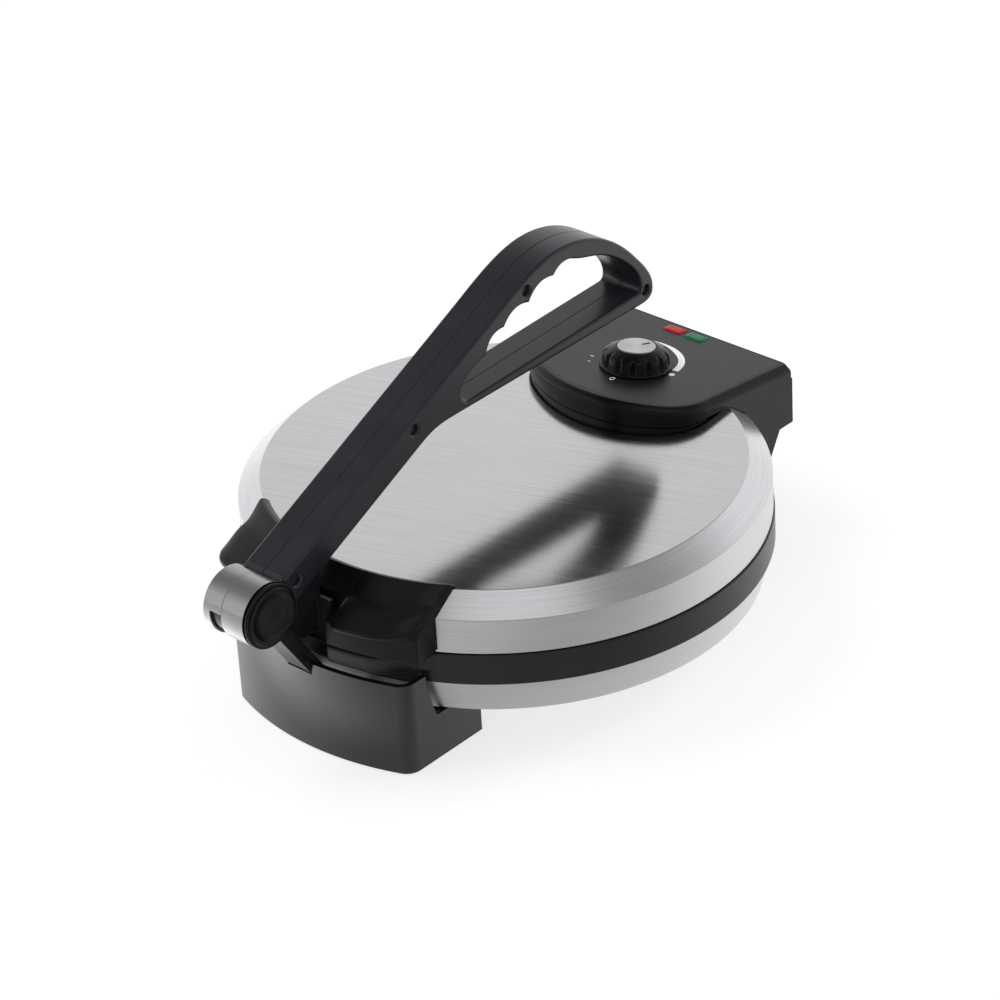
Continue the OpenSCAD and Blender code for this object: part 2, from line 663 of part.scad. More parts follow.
module web_side() difference() {
    polygon([[-pivot_y + 15, flange_low_z + 9], [-pivot_y + 29, flange_low_z - 0.5],
        [-channel_back - seat, flange_low_z - 0.5],
        [-channel_back - seat, pivot_z + beam_low_at(pivot_y - channel_back) - web_gap],
        [-pivot_y + 15, pivot_z + beam_low_at(15) - web_gap]]);
    at_pivot() circle(web_r);
}

// Height of the beam's underside above the pivot at a distance behind it.
function beam_low_at(y) = (y * sin(beam_angle) - beam_under) / cos(beam_angle);
function beam_top_at(y) = (y * sin(beam_angle) + beam_over) / cos(beam_angle);

module lever_bracket() color("#202023") at_drum() difference() {
    union() {
        across(-arm_half, arm_half) arm_side(0);
        across(-web_half, web_half) web_side();
        across(split_x + seat, cheek_x - clear - seat) at_pivot() circle(ring_in - seat);
        across(-barrel_half + ferrule_wall + clear, split_x + seat) at_pivot()
            circle(ring_in - clear - seat);
        translate([-channel_half + 0.5, -channel_back - flange_t - seat, flange_low_z])
            cube([2 * channel_half - 1, flange_t, flange_h]);
    }
    across(-barrel_half - 1, barrel_half) at_pivot() circle(pin_r + fit);
    bracket_screw_holes(thread_r + fit, channel_back + flange_t - 0.4, drum_r);
}

module fixed_ferrule() color("#d3d4d5") at_drum() difference() {
    across(split_x + seat, cheek_x - clear) at_pivot() difference() {
        circle(barrel_r);
        circle(ring_in);
    }
    across(-arm_half - seat, arm_half + seat) arm_side(seat);
}

module turning_ferrule() color("#d3d4d5") at_drum() difference() {
    across(-barrel_half, split_x - seat) at_pivot() circle(barrel_r);
    across(-barrel_half + ferrule_wall, split_x + 1) at_pivot() circle(ring_in);
    across(slot_x, split_x + 1) at_pivot() polygon([[0, 0], far * [cos(slot_low), sin(slot_low)],
        [far, -2 * far], [-2 * far, -2 * far], far * [cos(slot_high), sin(slot_high)]]);
}

module pivot_pin() color("#c2c3c5") at_drum()
    across(-barrel_half + ferrule_wall + seat, lever_half) at_pivot() circle(pin_r);

// ---- lever ----
function grip_outer() = concat([[0, beam_low_at(0)]],
    bez([beam_end, beam_low_at(beam_end)], [beam_end + 9, beam_low_at(beam_end + 9)],
        [heel.x - 11, heel.y - 0.1], heel, 6),
    bez(tail_low, [tail_low.x + 7, tail_low.y], [tail.x + 0.5, tail.y - 5.6], tail, 6),
    bez(tail, [tail.x, tail.y + 6.4], [shoulder.x + 6, shoulder.y - 6.5], shoulder),
    bez(shoulder, [shoulder.x - 14, shoulder.y + 17], [crown.x + 26, crown.y], crown),
    bez(crown, [crown.x - 20, crown.y], [crown_start + 20, beam_top_at(crown_start + 20)],
        [crown_start, beam_top_at(crown_start)]),
    [[0, beam_top_at(0)]]);

function grip_hole() = concat(
    bez(hole_low, [hole_low.x - 4.3, hole_low.y], [hole_nose.x - 2, hole_nose.y - 4.5], hole_nose, 6),
    bez(hole_nose, [hole_nose.x + 3, hole_nose.y + 4.5], scallops[3] - [9, 1.6], scallops[3], 6),
    arch(scallops[3], scallops[2], -scallop_depth),
    arch(scallops[2], scallops[1], -scallop_depth),
    arch(scallops[1], scallops[0], -scallop_depth),
    bez(scallops[0], scallops[0] + [5.1, 5.6], [hole_top.x - 5, hole_top.y + 2.8], hole_top, 6),
    bez(hole_top, [hole_top.x + 9, hole_top.y - 4], [hole_bend.x - 10, hole_bend.y + 6.4], hole_bend, 6),
    bez(hole_bend, [hole_bend.x + 15, hole_bend.y - 9.6], [hole_tail.x + 0.5, hole_tail.y + 8],
        hole_tail, 8),
    [hole_end]);

module lever_side() difference() {
    union() {
        polygon(grip_outer());
        intersection() {
            circle(cradle_r);
            polygon([[0, 0], far * [cos(cradle_low), sin(cradle_low)], [far, far],
                far * [cos(cradle_high), sin(cradle_high)]]);
        }
    }
    polygon(grip_hole());
}

module lever_half_body(inner_x, outer_x, bore, bore_end) difference() {
    union() {
        across(inner_x, outer_x - lever_edge) at_pivot() lever_side();
        across(inner_x, outer_x) at_pivot() offset(delta = -lever_edge + seat) lever_side();
    }
    across(inner_x - past, bore_end) at_pivot() circle(bore);
    across(inner_x - past, outer_x + past) at_pivot() polygon([[-far, -far], [0, -far], [0, 0],
        far * [cos(cradle_high), sin(cradle_high)], [-far, far]]);
}

module lever_right_half() color("#3b3c40") at_drum() difference() {
    union() {
        lever_half_body(seat / 2, lever_half, barrel_r + clear, cheek_x);
        across(cheek_x, lever_half) at_pivot() circle(barrel_r);
    }
    across(cheek_x - past, lever_half + past) at_pivot() circle(pin_r + press);
    for (p = lever_screw_places) {
        across(lever_half - recess_depth, lever_half + past) at_pivot() translate(p) circle(recess_r);
        across(-past, lever_half) at_pivot() translate(p) circle(thread_r + 0.15);
    }
}

module lever_left_half() color("#3b3c40") at_drum() difference() {
    mirror([1, 0, 0]) lever_half_body(seat / 2, lever_half, barrel_r + fit, lever_half + past);
    for (p = lever_screw_places) across(-lever_half + recess_depth, past) at_pivot()
        translate(p) circle(thread_r + fit);
}

module lever_screws() color("#9a9b9e") at_drum() for (p = lever_screw_places) {
    across(lever_half - recess_depth, lever_half - recess_depth + head_h) at_pivot()
        translate(p) circle(recess_r - seat);
    across(-lever_half + recess_depth + 0.5, lever_half - recess_depth) at_pivot()
        translate(p) circle(thread_r);
}

module about_barrel() translate([0, -pivot_y, pivot_z]) rotate([0, 90, 0]) rotate_extrude() children();

module cap_ring() color("#d3d4d5") at_drum() about_barrel() polygon([
    [barrel_r - cap_rim_w, cap_x0], [barrel_r, cap_x0], [barrel_r, cap_x1 - 1.6],
    [barrel_r - 0.6, cap_x1 - 1], [barrel_r - cap_rim_w, cap_x1 - 1]]);

module end_cap() color("#26262a") at_drum() about_barrel() let (r = barrel_r - cap_rim_w - seat)
    polygon(concat([[0, cap_x0], [r, cap_x0], [r, cap_x1 - 0.8], [r - 0.8, cap_x1], [r - 1.8, cap_x1]],
        bez([r - 2.4, cap_x1 - 0.5], [r * 0.7, cap_x1 - 1.4], [r * 0.4, cap_x1 - 1.2], [0, cap_x1 - 1])));

// ---- control housing ----
module panel_frame() translate([0, housing_front_y, panel_z]) rotate([-panel_tilt, 0, 0]) children();

module housing_plan(inset, back_inset = back_round) translate([0, housing_front_y + housing_bow_r])
    bow(housing_bow_r - inset, housing_half - inset, housing_corner_r - inset,
        housing_len - housing_bow_r - min(inset, back_inset));

// Everything over a plane at a height above the panel's plane.
module above_panel(height) panel_frame() translate([-far - 40, -40, height])
    cube([2 * far + 80, housing_len + 80, far]);

// The slice of the children between two depths below the panel's plane.
module panel_slice(top, low) difference() {
    children();
    above_panel(-top);
    translate([0, 0, -far]) above_panel(-low);
}

module under_panel(drop) difference() {
    children();
    above_panel(-drop);
}

// Room for the drum, whose bevel the housing follows.
module drum_space() rotate_extrude() polygon([[0, hinge_z - 8], [band_r + band_gap, hinge_z - 8],
    [band_r + band_gap, skirt_z], [drum_r + clear, skirt_z], [drum_r + clear, bevel_z + 0.2],
    [top_flat_r + seat, lid_top_z + clear], [0, lid_top_z + clear]]);

// Outer form: a shell with a rounded rim, which rests in front on a lower tier whose seam
// runs parallel to the panel, and hangs down behind the drum.
module housing_form() {
    difference() {
        for (step = rim_steps) under_panel(step[1])
            translate([0, 0, housing_low_z]) linear_extrude(far) housing_plan(step[0]);
        under_panel(seam_drop) translate([-housing_half - past, 0, 0])
            cube([2 * (housing_half + past), apron_y, 2 * lid_top_z]);
    }
    under_panel(seam_drop + seam_gap) lower_tier(tier_set);
    under_panel(seam_drop - seam_gap) lower_tier(tier_set + groove);
}

module lower_tier(inset) translate([0, 0, lid_top_z]) linear_extrude(far / 2) intersection() {
    housing_plan(inset);
    translate([-housing_half, 0]) square([2 * housing_half, apron_y + past]);
}

module control_housing() color("#1a1a1d") at_drum() difference() {
    union() {
        housing_form();
        for (s = [-1, 1]) scale([s, 1, 1]) across(arm_x0, housing_half) union() {
            translate([hinge_y, hinge_z]) circle(hinge_hub_r);
            polygon([[hinge_y - hinge_hub_r, hinge_z], [hinge_y + 4.6, hinge_z - 4.6],
                [housing_back_y - 11.5, housing_low_z], [housing_back_y - 10, housing_low_z + 8],
                [hinge_y - hinge_hub_r, housing_low_z + 8]]);
        }
    }
    drum_space();
    translate([0, 0, lid_top_z + housing_wall]) linear_extrude(30)
        housing_plan(rim_w + ledge_w, back_rim_w + ledge_w);
    panel_slice(-bite, recess_t) translate([0, 0, bevel_z]) linear_extrude(far)
        housing_plan(rim_w, back_rim_w);
    translate([10 - housing_half, housing_back_y - back_room, housing_low_z + housing_wall])
        cube([2 * housing_half - 20, back_room - housing_wall, panel_z - housing_low_z - 10]);
    for (s = [-1, 1]) scale([s, 1, 1]) translate([arm_x0 - past, hinge_y, hinge_z]) rotate([0, 90, 0])
        cylinder(r = hinge_pin_r + fit, h = pin_x1 - arm_x0 + past + clear);
    housing_screw_places() translate([0, 0, lid_top_z - past]) cylinder(r = thread_r + fit, h = 8);
    translate([0, wire_y, lid_top_z - past]) cylinder(r = wire_r, h = 12);
    translate([knob_x - thermostat_w / 2 - 1.5, knob_y - thermostat_l / 2 - 1.5, lid_top_z - past])
        cube([thermostat_w + 3, thermostat_l + 3, 12]);
    translate([gland_x, housing_back_y + 5, gland_z]) rotate([90, 0, 0])
        cylinder(r = gland_neck_r + seat, h = 20);
}

module housing_screws() color("#b9b9bb") at_drum() housing_screw_places()
    translate([0, 0, lid_top_z - sheet_t - seat - head_h]) screw(head_r, head_h, thread_r, bite - 1);

module lens_place(x) panel_frame() translate([x, lens_y - housing_front_y, 0]) children();

module lens_area(w, d) translate([-w / 2, -d / 2]) square([w, d]);

module control_panel() color("#232327") at_drum() difference() {
    panel_slice(seat, recess_t - seat) translate([0, 0, bevel_z]) linear_extrude(far)
        housing_plan(rim_w + 0.15, back_rim_w + 0.15);
    knob_place() translate([0, 0, -5]) cylinder(r = shaft_r + 1, h = 10);
    for (x = [red_x, green_x]) lens_place(x) translate([0, 0, -5]) linear_extrude(10)
        lens_area(lens_w + 0.2, lens_d + 0.2);
}

module lens(x) lens_place(x) {
    translate([0, 0, -lens_h]) linear_extrude(lens_h) lens_area(lens_w, lens_d);
    translate([0, 0, -lens_h]) linear_extrude(lens_h - recess_t)
        lens_area(lens_w + 2 * lens_lip, lens_d + 2 * lens_lip);
}

module red_lens() color("#c3272b") at_drum() lens(red_x);
module green_lens() color("#0f7a4a") at_drum() lens(green_x);

module lamp_bulbs() color("#d9c9b0") at_drum() for (x = [red_x, green_x]) lens_place(x)
    translate([0, 0, -lens_h - seat - bulb_h]) cylinder(r = bulb_r, h = bulb_h);

// ---- knob and thermostat ----
module knob_place() panel_frame() translate([knob_x, (knob_y - housing_front_y) / cos(panel_tilt), 0])
    children();

module thermostat() color("#b8b2a4") at_drum() knob_place() difference() {
    union() {
        translate([-thermostat_w / 2, -thermostat_l / 2, -recess_t - thermostat_h])
            cube([thermostat_w, thermostat_l, thermostat_h]);
        translate([0, 0, -recess_t]) cylinder(r = shaft_r + 0.8, h = recess_t - 0.2);
    }
    translate([0, 0, -10]) cylinder(r = shaft_r + fit, h = 20);
}

module thermostat_shaft() color("#c2c3c5") at_drum() knob_place() difference() {
    translate([0, 0, -shaft_low]) cylinder(r = shaft_r, h = knob_h - 4 + shaft_low);
    translate([-5, shaft_r - 1, 2]) cube([10, 5, 20]);
}

module knob_body() color("#17171a") at_drum() knob_place() difference() {
    union() {
        translate([0, 0, clear]) cylinder(r = knob_r, h = skirt_t);
        difference() {
            rotate_extrude() polygon([[0, clear], [knob_r - 1, clear],
                [knob_r - shoulder_w, knob_h - shoulder_drop],
                [knob_r - shoulder_w - 1, knob_h - shoulder_drop + 0.8],
                [cap_r + 1.2, knob_h - 0.6], [0, knob_h - 0.6]]);
            for (a = [0:20:359]) rotate(a) translate([knob_r + 0.4, 0]) cylinder(r = flute_r, h = knob_h);
        }
    }
    translate([0, 0, -1]) difference() {
        cylinder(r = shaft_r + press, h = knob_h - 2.9);
        translate([-5, shaft_r - 1 + press, 3.2]) cube([10, 5, 20]);
    }
    translate([0, 0, knob_h - cap_t - 2 * seat]) cylinder(r = cap_r, h = 4);
}

module knob_cap() color("#b7b9bc") at_drum() knob_place() difference() {
    translate([0, 0, knob_h - cap_t - seat]) cylinder(r = cap_r - 0.4, h = cap_t);
    rotate([0, 0, 68]) translate([2.5, -0.5, knob_h - 0.6]) cube([6, 1, 2]);
}

module cord_gland() color("#17171a") at_drum() translate([gland_x, housing_back_y, gland_z])
    rotate([90, 0, 0]) difference() {
        union() {
            translate([0, 0, -gland_flange_t]) cylinder(r = gland_r, h = gland_flange_t - seat);
            translate([0, 0, -2 * seat]) cylinder(r = gland_neck_r, h = 8);
        }
        translate([0, 0, -3]) cylinder(r = gland_bore_r, h = 20);
    }

base_pan();
trim_band();
bottom_cover();
cover_screws();
lower_plate();
lower_element();
lower_reflector();
lower_spacers();
lower_plate_screws();
front_foot();
rear_foot();
foot_screws();
foot_pads();
hinge_pins();
lid_shell();
lid_rim();
upper_plate();
upper_element();
upper_reflector();
upper_spacers();
upper_plate_screws();
lid_handle();
handle_screws();
lever_bracket();
bracket_screws();
fixed_ferrule();
control_housing();
housing_screws();
control_panel();
red_lens();
green_lens();
lamp_bulbs();
thermostat();
cord_gland();
thermostat_shaft();
knob_body();
knob_cap();
lever_left_half();
lever_right_half();
turning_ferrule();
pivot_pin();
cap_ring();
end_cap();
lever_screws();
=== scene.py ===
"""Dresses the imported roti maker: finished surfaces, procedural materials, stage and camera."""

import json
import math

import bmesh
import bpy
import numpy as np
from bpy.props import FloatProperty, FloatVectorProperty, IntProperty, PointerProperty
from bpy.types import Operator, Panel, PropertyGroup
from mathutils import Matrix, Vector
from mathutils.geometry import tessellate_polygon


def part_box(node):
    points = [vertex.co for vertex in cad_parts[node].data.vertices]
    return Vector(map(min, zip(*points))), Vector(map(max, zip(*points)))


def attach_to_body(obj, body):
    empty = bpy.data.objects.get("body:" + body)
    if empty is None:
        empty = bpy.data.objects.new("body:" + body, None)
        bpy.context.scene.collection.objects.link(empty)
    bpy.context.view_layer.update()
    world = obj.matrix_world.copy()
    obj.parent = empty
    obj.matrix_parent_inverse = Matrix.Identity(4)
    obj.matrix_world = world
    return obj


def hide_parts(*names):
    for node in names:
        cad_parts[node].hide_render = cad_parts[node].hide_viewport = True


bl_info = {
    "name": "Roti Maker Dressing",
    "version": (1, 0, 0),
    "blender": (4, 5, 0),
    "location": "View3D > Sidebar > Roti Maker",
    "description": "Finishes the roti maker's pieces and sets its stage",
    "category": "Object",
}

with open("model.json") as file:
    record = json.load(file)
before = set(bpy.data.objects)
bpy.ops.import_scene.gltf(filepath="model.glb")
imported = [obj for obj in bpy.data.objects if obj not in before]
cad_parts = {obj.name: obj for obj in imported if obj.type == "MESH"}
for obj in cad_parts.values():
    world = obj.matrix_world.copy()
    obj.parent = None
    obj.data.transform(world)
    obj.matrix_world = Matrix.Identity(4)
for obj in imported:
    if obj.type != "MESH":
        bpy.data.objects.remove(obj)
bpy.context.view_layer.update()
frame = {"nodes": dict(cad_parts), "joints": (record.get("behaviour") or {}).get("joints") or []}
MM = 0.001


def box_mm(node):
    """A node's lowest and highest corners in millimetres."""
    low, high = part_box(node)
    return np.array(low) / MM, np.array(high) / MM


def joint(name):
    """The record's joint of that name."""
    return next(j for j in frame["joints"] if j["name"] == name)


LID_LOW, LID_HIGH = box_mm("lid_shell")
DRUM_Y = (LID_LOW[1] + LID_HIGH[1]) / 2
DRUM_R = (LID_HIGH[0] - LID_LOW[0]) / 2
LID_TOP = LID_HIGH[2]
SKIRT_LOW = LID_LOW[2]
PIVOT = np.array(joint("lever_hinge")["pos_m"]) / MM
PIVOT_Y, PIVOT_Z = PIVOT[1] - DRUM_Y, PIVOT[2]
BARREL_R = (box_mm("cap_ring")[1][1] - box_mm("cap_ring")[0][1]) / 2
DIAL = joint("thermostat_turn")
TILT = math.atan2(DIAL["axis"][1], DIAL["axis"][2])
KNOB = np.array(DIAL["pos_m"]) / MM - (0, DRUM_Y, 0)
RIM_W = 5.95
HOUSING_HALF = box_mm("control_panel")[1][0] + RIM_W
HOUSING_FRONT = 60.0
HOUSING_BACK = box_mm("control_housing")[1][1] - DRUM_Y
PANEL_Z = KNOB[2] + (KNOB[1] - HOUSING_FRONT) * math.tan(TILT)
# the height at which the lid's bevel meets its skirt, and the steel's thickness
BEVEL_Z, SHEET = 86.0, 1.0
# the ears' reach and back, the nose's reach and the wall that both stand on
EAR_R, EAR_BACK, NOSE_R, WALL_R = DRUM_R + 21.5, DRUM_R - 12, DRUM_R + 14, DRUM_R + 1.3
# half the channel between the ears' inner ends and between the nose's, and its back wall
EAR_INNER, CHANNEL_HALF, CHANNEL_BACK = 21.0, 16.0, DRUM_R + 4.2
# the housing's seam under the panel, the rounding at its back, the radius of its front
SEAM, BACK_ROUND, FRONT_R = 8.2, 1.2, 85.0
# how far the dial's print stands off the knob's centre, on the panel
PRINT_SHIFT = np.array([-6.5, 5.6])


# --- sizes and colours
def colour(name, description, value):
    """A colour that the user may change."""
    return FloatVectorProperty(name=name, description=description, subtype="COLOR", size=3,
                               min=0, max=1, default=value)


def number(name, description, low, high, value, **more):
    """A number that the user may change."""
    return FloatProperty(name=name, description=description, min=low, max=high, default=value,
                         **more)


class RotiFinish(PropertyGroup):
    """Colours of the finishes."""

    steel: colour("Lid Steel", "Colour of the brushed lid", (0.60, 0.60, 0.615))
    bevel: colour("Bevel Steel", "Colour of the polished bevel", (0.70, 0.70, 0.725))
    skirt: colour("Skirt Steel", "Colour of the skirt and the pan", (0.64, 0.625, 0.615))
    # steel, its tone set darker than the lid's as painted shade for the black lever and ears that
    # it mirrors
    barrel: colour("Barrel Steel", "Colour of the barrel", (0.36, 0.352, 0.347))
    lever: colour("Lever", "Colour of the lever's mouldings", (0.010, 0.011, 0.014))
    gloss_black: colour("Gloss Black", "Colour of the feet, the ears and the housing",
                        (0.0035, 0.0035, 0.0045))
    band_black: colour("Band Black", "Colour of the band round the base", (0.008, 0.008, 0.010))
    panel: colour("Panel", "Colour of the inlaid panel", (0.008, 0.008, 0.011))
    red: colour("Red Lamp", "Colour of the red lens", (0.50, 0.006, 0.010))
    green: colour("Green Lamp", "Colour of the green lens", (0.0, 0.17, 0.062))


class RotiSizes(PropertyGroup):
    """Sizes of the details."""

    segments: IntProperty(
        name="Segments", description="Segments round the drum", min=64, max=512, default=320)
    lever_edge: number("Lever Edge", "Rounding along the lever's outer edges, in millimetres",
                       0.5, 3.0, 1.7)


class RotiStage(PropertyGroup):
    """The camera and the light."""

    azimuth: number("Azimuth", "Turn of the view about the upright", -180, 180, 43.7)
    elevation: number("Elevation", "Height of the view above level", 0, 90, 30.8)
    roll: number("Roll", "Lean of the frame, right side up", -20, 20, -3.45)
    distance: number("Distance", "From the aimed point to the camera", 0.5, 10, 2.0,
                     unit="LENGTH")
    lens: number("Lens", "Focal length", 20, 300, 135.63)


# --- outlines
def fillet(points, radius, steps=6):
    """A closed outline with each corner rounded: the arc touches both sides at radius times
    the cotangent of half the corner's angle from it, or less where a side is short.
    radius is one number or one for each corner; 0 leaves a corner sharp."""
    points = [np.asarray(p, float) for p in points]
    count = len(points)
    radii = np.broadcast_to(radius, count)
    found = []
    for k, here in enumerate(points):
        back, ahead = points[k - 1] - here, points[(k + 1) % count] - here
        lb, la = np.linalg.norm(back), np.linalg.norm(ahead)
        back, ahead = back / lb, ahead / la
        half = math.acos(np.clip(back @ ahead, -1, 1)) / 2
        if radii[k] <= 0 or half > math.radians(88):
            found.append(here)
            continue
        reach = min(radii[k] / math.tan(half), 0.49 * lb, 0.49 * la)
        size = reach * math.tan(half)
        middle = here + (back + ahead) / np.linalg.norm(back + ahead) * size / math.sin(half)
        a, b = here + back * reach - middle, here + ahead * reach - middle
        turn = math.atan2(a[0] * b[1] - a[1] * b[0], a @ b)
        for t in np.linspace(0, turn, steps + 1):
            c, s = math.cos(t), math.sin(t)
            found.append(middle + np.array([c * a[0] - s * a[1], s * a[0] + c * a[1]]))
    return np.array(found)


def bezier(a, b, c, d, steps):
    """Points on the cubic curve from a to d that leaves towards b and arrives from c."""
    t = np.linspace(0, 1, steps + 1)[:, None]
    u = 1 - t
    a, b, c, d = (np.array(p, float) for p in (a, b, c, d))
    return u**3 * a + 3 * u * u * t * b + 3 * u * t * t * c + t**3 * d


def curve(start, *runs):
    """Cubic curves end to end, each run its two handles, its end and its number of steps."""
    found = [[start]]
    for b, c, d, steps in runs:
        found.append(bezier(start, b, c, d, steps)[1:])
        start = d
    return np.concatenate(found)


def path(*parts):
    """Runs of points end to end as one outline."""
    return np.concatenate([np.array(p, float) for p in parts])


def arc(centre, radius, start, end, steps):
    """Points on a circle's arc between two angles in degrees."""
    t = np.radians(np.linspace(start, end, steps + 1))
    return np.stack([centre[0] + radius * np.cos(t), centre[1] + radius * np.sin(t)], 1)


def resample(loop, step):
    """A closed outline with points added so that no side is longer than step."""
    ahead = np.roll(loop, -1, 0)
    parts = []
    for p, q in zip(loop, ahead):
        n = max(1, int(np.ceil(np.linalg.norm(q - p) / step)))
        parts.append(p + (q - p) * (np.arange(n) / n)[:, None])
    return np.concatenate(parts)


def inset(loop, depth):
    """Each point moved to the left of the way round by depth, along the mitre of its sides."""
    ahead = np.roll(loop, -1, 0) - loop
    ahead /= np.maximum(np.linalg.norm(ahead, axis=1, keepdims=True), 1e-9)
    back = np.roll(ahead, 1, 0)
    left = np.stack([-ahead[:, 1], ahead[:, 0]], 1)
    left_back = np.stack([-back[:, 1], back[:, 0]], 1)
    share = 1 + (left * left_back).sum(1, keepdims=True)
    return loop + depth * (left + left_back) / np.maximum(share, 0.35)


def bow(front_r, half, corner_r, back, centre_y):
    """Plan outline, anticlockwise: a bowed front of radius front_r about the centre, corners
    of radius corner_r, straight sides at plus and minus half, and a straight back."""
    back_r, cx = 1.5, half - corner_r
    cy = -math.sqrt((front_r - corner_r) ** 2 - cx * cx)
    lean = math.degrees(math.atan2(-cy, cx))
    return (0, centre_y) + path(
        arc((-cx, cy), corner_r, 180, 180 + lean, 14),
        arc((0, 0), front_r, 180 + lean, 360 - lean, 60),
        arc((cx, cy), corner_r, 360 - lean, 360, 14),
        arc((half - back_r, back - back_r), back_r, 0, 90, 6),
        arc((-half + back_r, back - back_r), back_r, 90, 180, 6))


# --- meshes
def ring_faces(rings, count, close_rings=False):
    """Quads between neighbouring rings of count points each, rings in order."""
    k = np.arange(rings if close_rings else rings - 1)[:, None]
    i = np.arange(count)[None, :]
    ahead = (i + 1) % count
    up = (k + 1) % rings
    quads = np.stack([k * count + i, k * count + ahead, up * count + ahead, up * count + i], -1)
    return quads.reshape(-1, 4)


def cap_faces(loops):
    """Triangles that fill closed flat outlines, the first outside and the rest its holes."""
    return np.array(tessellate_polygon([[Vector((p[0], p[1], 0)) for p in l] for l in loops]))


def slab(loops, rings, place):
    """A plate with worked edges: each ring is the outline moved in by a depth and set at a
    level, and place(u, v, level) carries it into space. Returns points and faces."""
    points, faces, start = [], [], 0
    ends = ([], [])
    for loop in loops:
        count = len(loop)
        moved = [inset(loop, depth) if depth else loop for depth, _ in rings]
        points += [place(m[:, 0], m[:, 1], np.full(count, float(level)))
                   for m, (_, level) in zip(moved, rings)]
        faces += [tuple(f) for f in ring_faces(len(rings), count) + start]
        ends[0].append((moved[0], start + np.arange(count)))
        ends[1].append((moved[-1], start + (len(rings) - 1) * count + np.arange(count)))
        start += len(rings) * count
    for end in ends:
        index = np.concatenate([numbers for _, numbers in end])
        faces += [tuple(index[f]) for f in cap_faces([loop for loop, _ in end])]
    return np.concatenate(points), faces


def rounded_rings(low, high, edge_low, edge_high, steps=5):
    """Rings of a plate whose two rims are quarter rounds: the inset is the radius less its
    sine and the level the radius less its cosine."""
    t = np.linspace(0, math.pi / 2, steps + 1)
    first = [(edge_low * (1 - math.sin(a)), low + edge_low * (1 - math.cos(a))) for a in t]
    last = [(edge_high * (1 - math.sin(a)), high - edge_high * (1 - math.cos(a))) for a in t]
    return first + last[::-1]


def spread(low, high, edge_low, edge_high, steps, stations):
    """Rings of a plate with rounded rims and plain stations between them."""
    ends = rounded_rings(low, high, edge_low, edge_high, steps)
    return ends[:steps + 1] + [(0, x) for x in stations] + ends[steps + 1:]


def bar(angle, near, far, half):
    """Corners of a bar that points away from the origin at an angle in degrees."""
    along = np.array([math.cos(math.radians(angle)), math.sin(math.radians(angle))])
    across = np.array([-along[1], along[0]]) * half
    near, far = along * near, along * far
    return np.array([near - across, far - across, far + across, near + across])


def revolve(profile, segments, axis="z", centre=(0, 0, 0)):
    """A closed profile of (radius, height) turned about an axis: radius times cosine, radius
    times sine, height."""
    turns = np.radians(360 * np.arange(segments) / segments)
    x = profile[:, 0] * np.cos(turns)[:, None]
    y = profile[:, 0] * np.sin(turns)[:, None]
    z = np.broadcast_to(profile[:, 1], x.shape)
    points = np.stack((x, y, z) if axis == "z" else (z, x, y), -1).reshape(-1, 3) + centre
    return points, ring_faces(segments, len(profile), True)


def joined(parts):
    """Several sets of points and faces as one."""
    points, faces, start = [], [], 0
    for p, f in parts:
        points.append(np.asarray(p))
        faces += [tuple(int(i) + start for i in face) for face in f]
        start += len(p)
    return np.concatenate(points), faces


def upright(u, v, w):
    """Plan outlines with level as height."""
    return np.stack([u, v, w], 1)


def sideways(u, v, w):
    """Side outlines of (y, z) with level as x."""
    return np.stack([w, u, v], 1)


def placed(name, data):
    """A new object in the scene."""
    obj = bpy.data.objects.new(name, data)
    bpy.context.scene.collection.objects.link(obj)
    return obj


def merged(mesh, distance):
    """A mesh open for work, its points within distance of each other made one."""
    work = bmesh.new()
    work.from_mesh(mesh)
    bmesh.ops.remove_doubles(work, verts=work.verts, dist=distance)
    return work


def settle(work, mesh):
    """Turns the faces outward and writes the work back to its mesh."""
    bmesh.ops.recalc_face_normals(work, faces=work.faces)
    work.to_mesh(mesh)
    work.free()


def piece(name, shape, body, slot, node, materials, sharp, index=None):
    """Makes an object of points in millimetres about the drum axis, lets it ride on its body
    and stand for its node. index gives each face's material from the faces' middles."""
    points, faces = shape
    mesh = bpy.data.meshes.new(name)
    mesh.from_pydata((points + (0, DRUM_Y, 0)) * MM, [], [tuple(int(i) for i in f) for f in faces])
    mesh.validate()
    obj = placed(name, mesh)
    settle(merged(mesh, 2e-6), mesh)
    for m in materials:
        mesh.materials.append(m)
    if index is not None:
        centres = np.zeros(len(mesh.polygons) * 3)
        mesh.polygons.foreach_get("center", centres)
        centres = centres.reshape(-1, 3) / MM - (0, DRUM_Y, 0)
        mesh.polygons.foreach_set("material_index", index(centres))
    finish_shading(obj, sharp)
    attach(obj, body, slot, node)


def finish_shading(obj, sharp):
    """Smooth faces, edges over the angle kept sharp, and flats kept flat by weighted normals."""
    obj.data.shade_smooth()
    obj.data.set_sharp_from_angle(angle=math.radians(sharp))
    weighted = obj.modifiers.new("flats", "WEIGHTED_NORMAL")
    weighted.keep_sharp = True


def attach(obj, body, slot, node):
    """Body and the node that the piece stands for, if any; the material slot is not used."""
    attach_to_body(obj, body)
    if node:
        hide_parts(node)


def worked_copy(node, name, body, slot, material, width):
    """A copy of a node's mesh, merged, with its flats joined and its edges rounded by width."""
    angle = 30
    mesh = frame["nodes"][node].data.copy()
    mesh.name = name
    obj = placed(name, mesh)
    work = merged(mesh, 4e-6)
    bmesh.ops.dissolve_limit(work, angle_limit=math.radians(0.6), verts=work.verts,
                             edges=work.edges, use_dissolve_boundaries=False)
    settle(work, mesh)
    mesh.materials.clear()
    mesh.materials.append(material)
    bevel = obj.modifiers.new("edges", "BEVEL")
    bevel.width = width * MM
    bevel.segments = 2
    bevel.limit_method = "ANGLE"
    bevel.angle_limit = math.radians(angle)
    bevel.harden_normals = False
    finish_shading(obj, angle)
    attach(obj, body, slot, node)


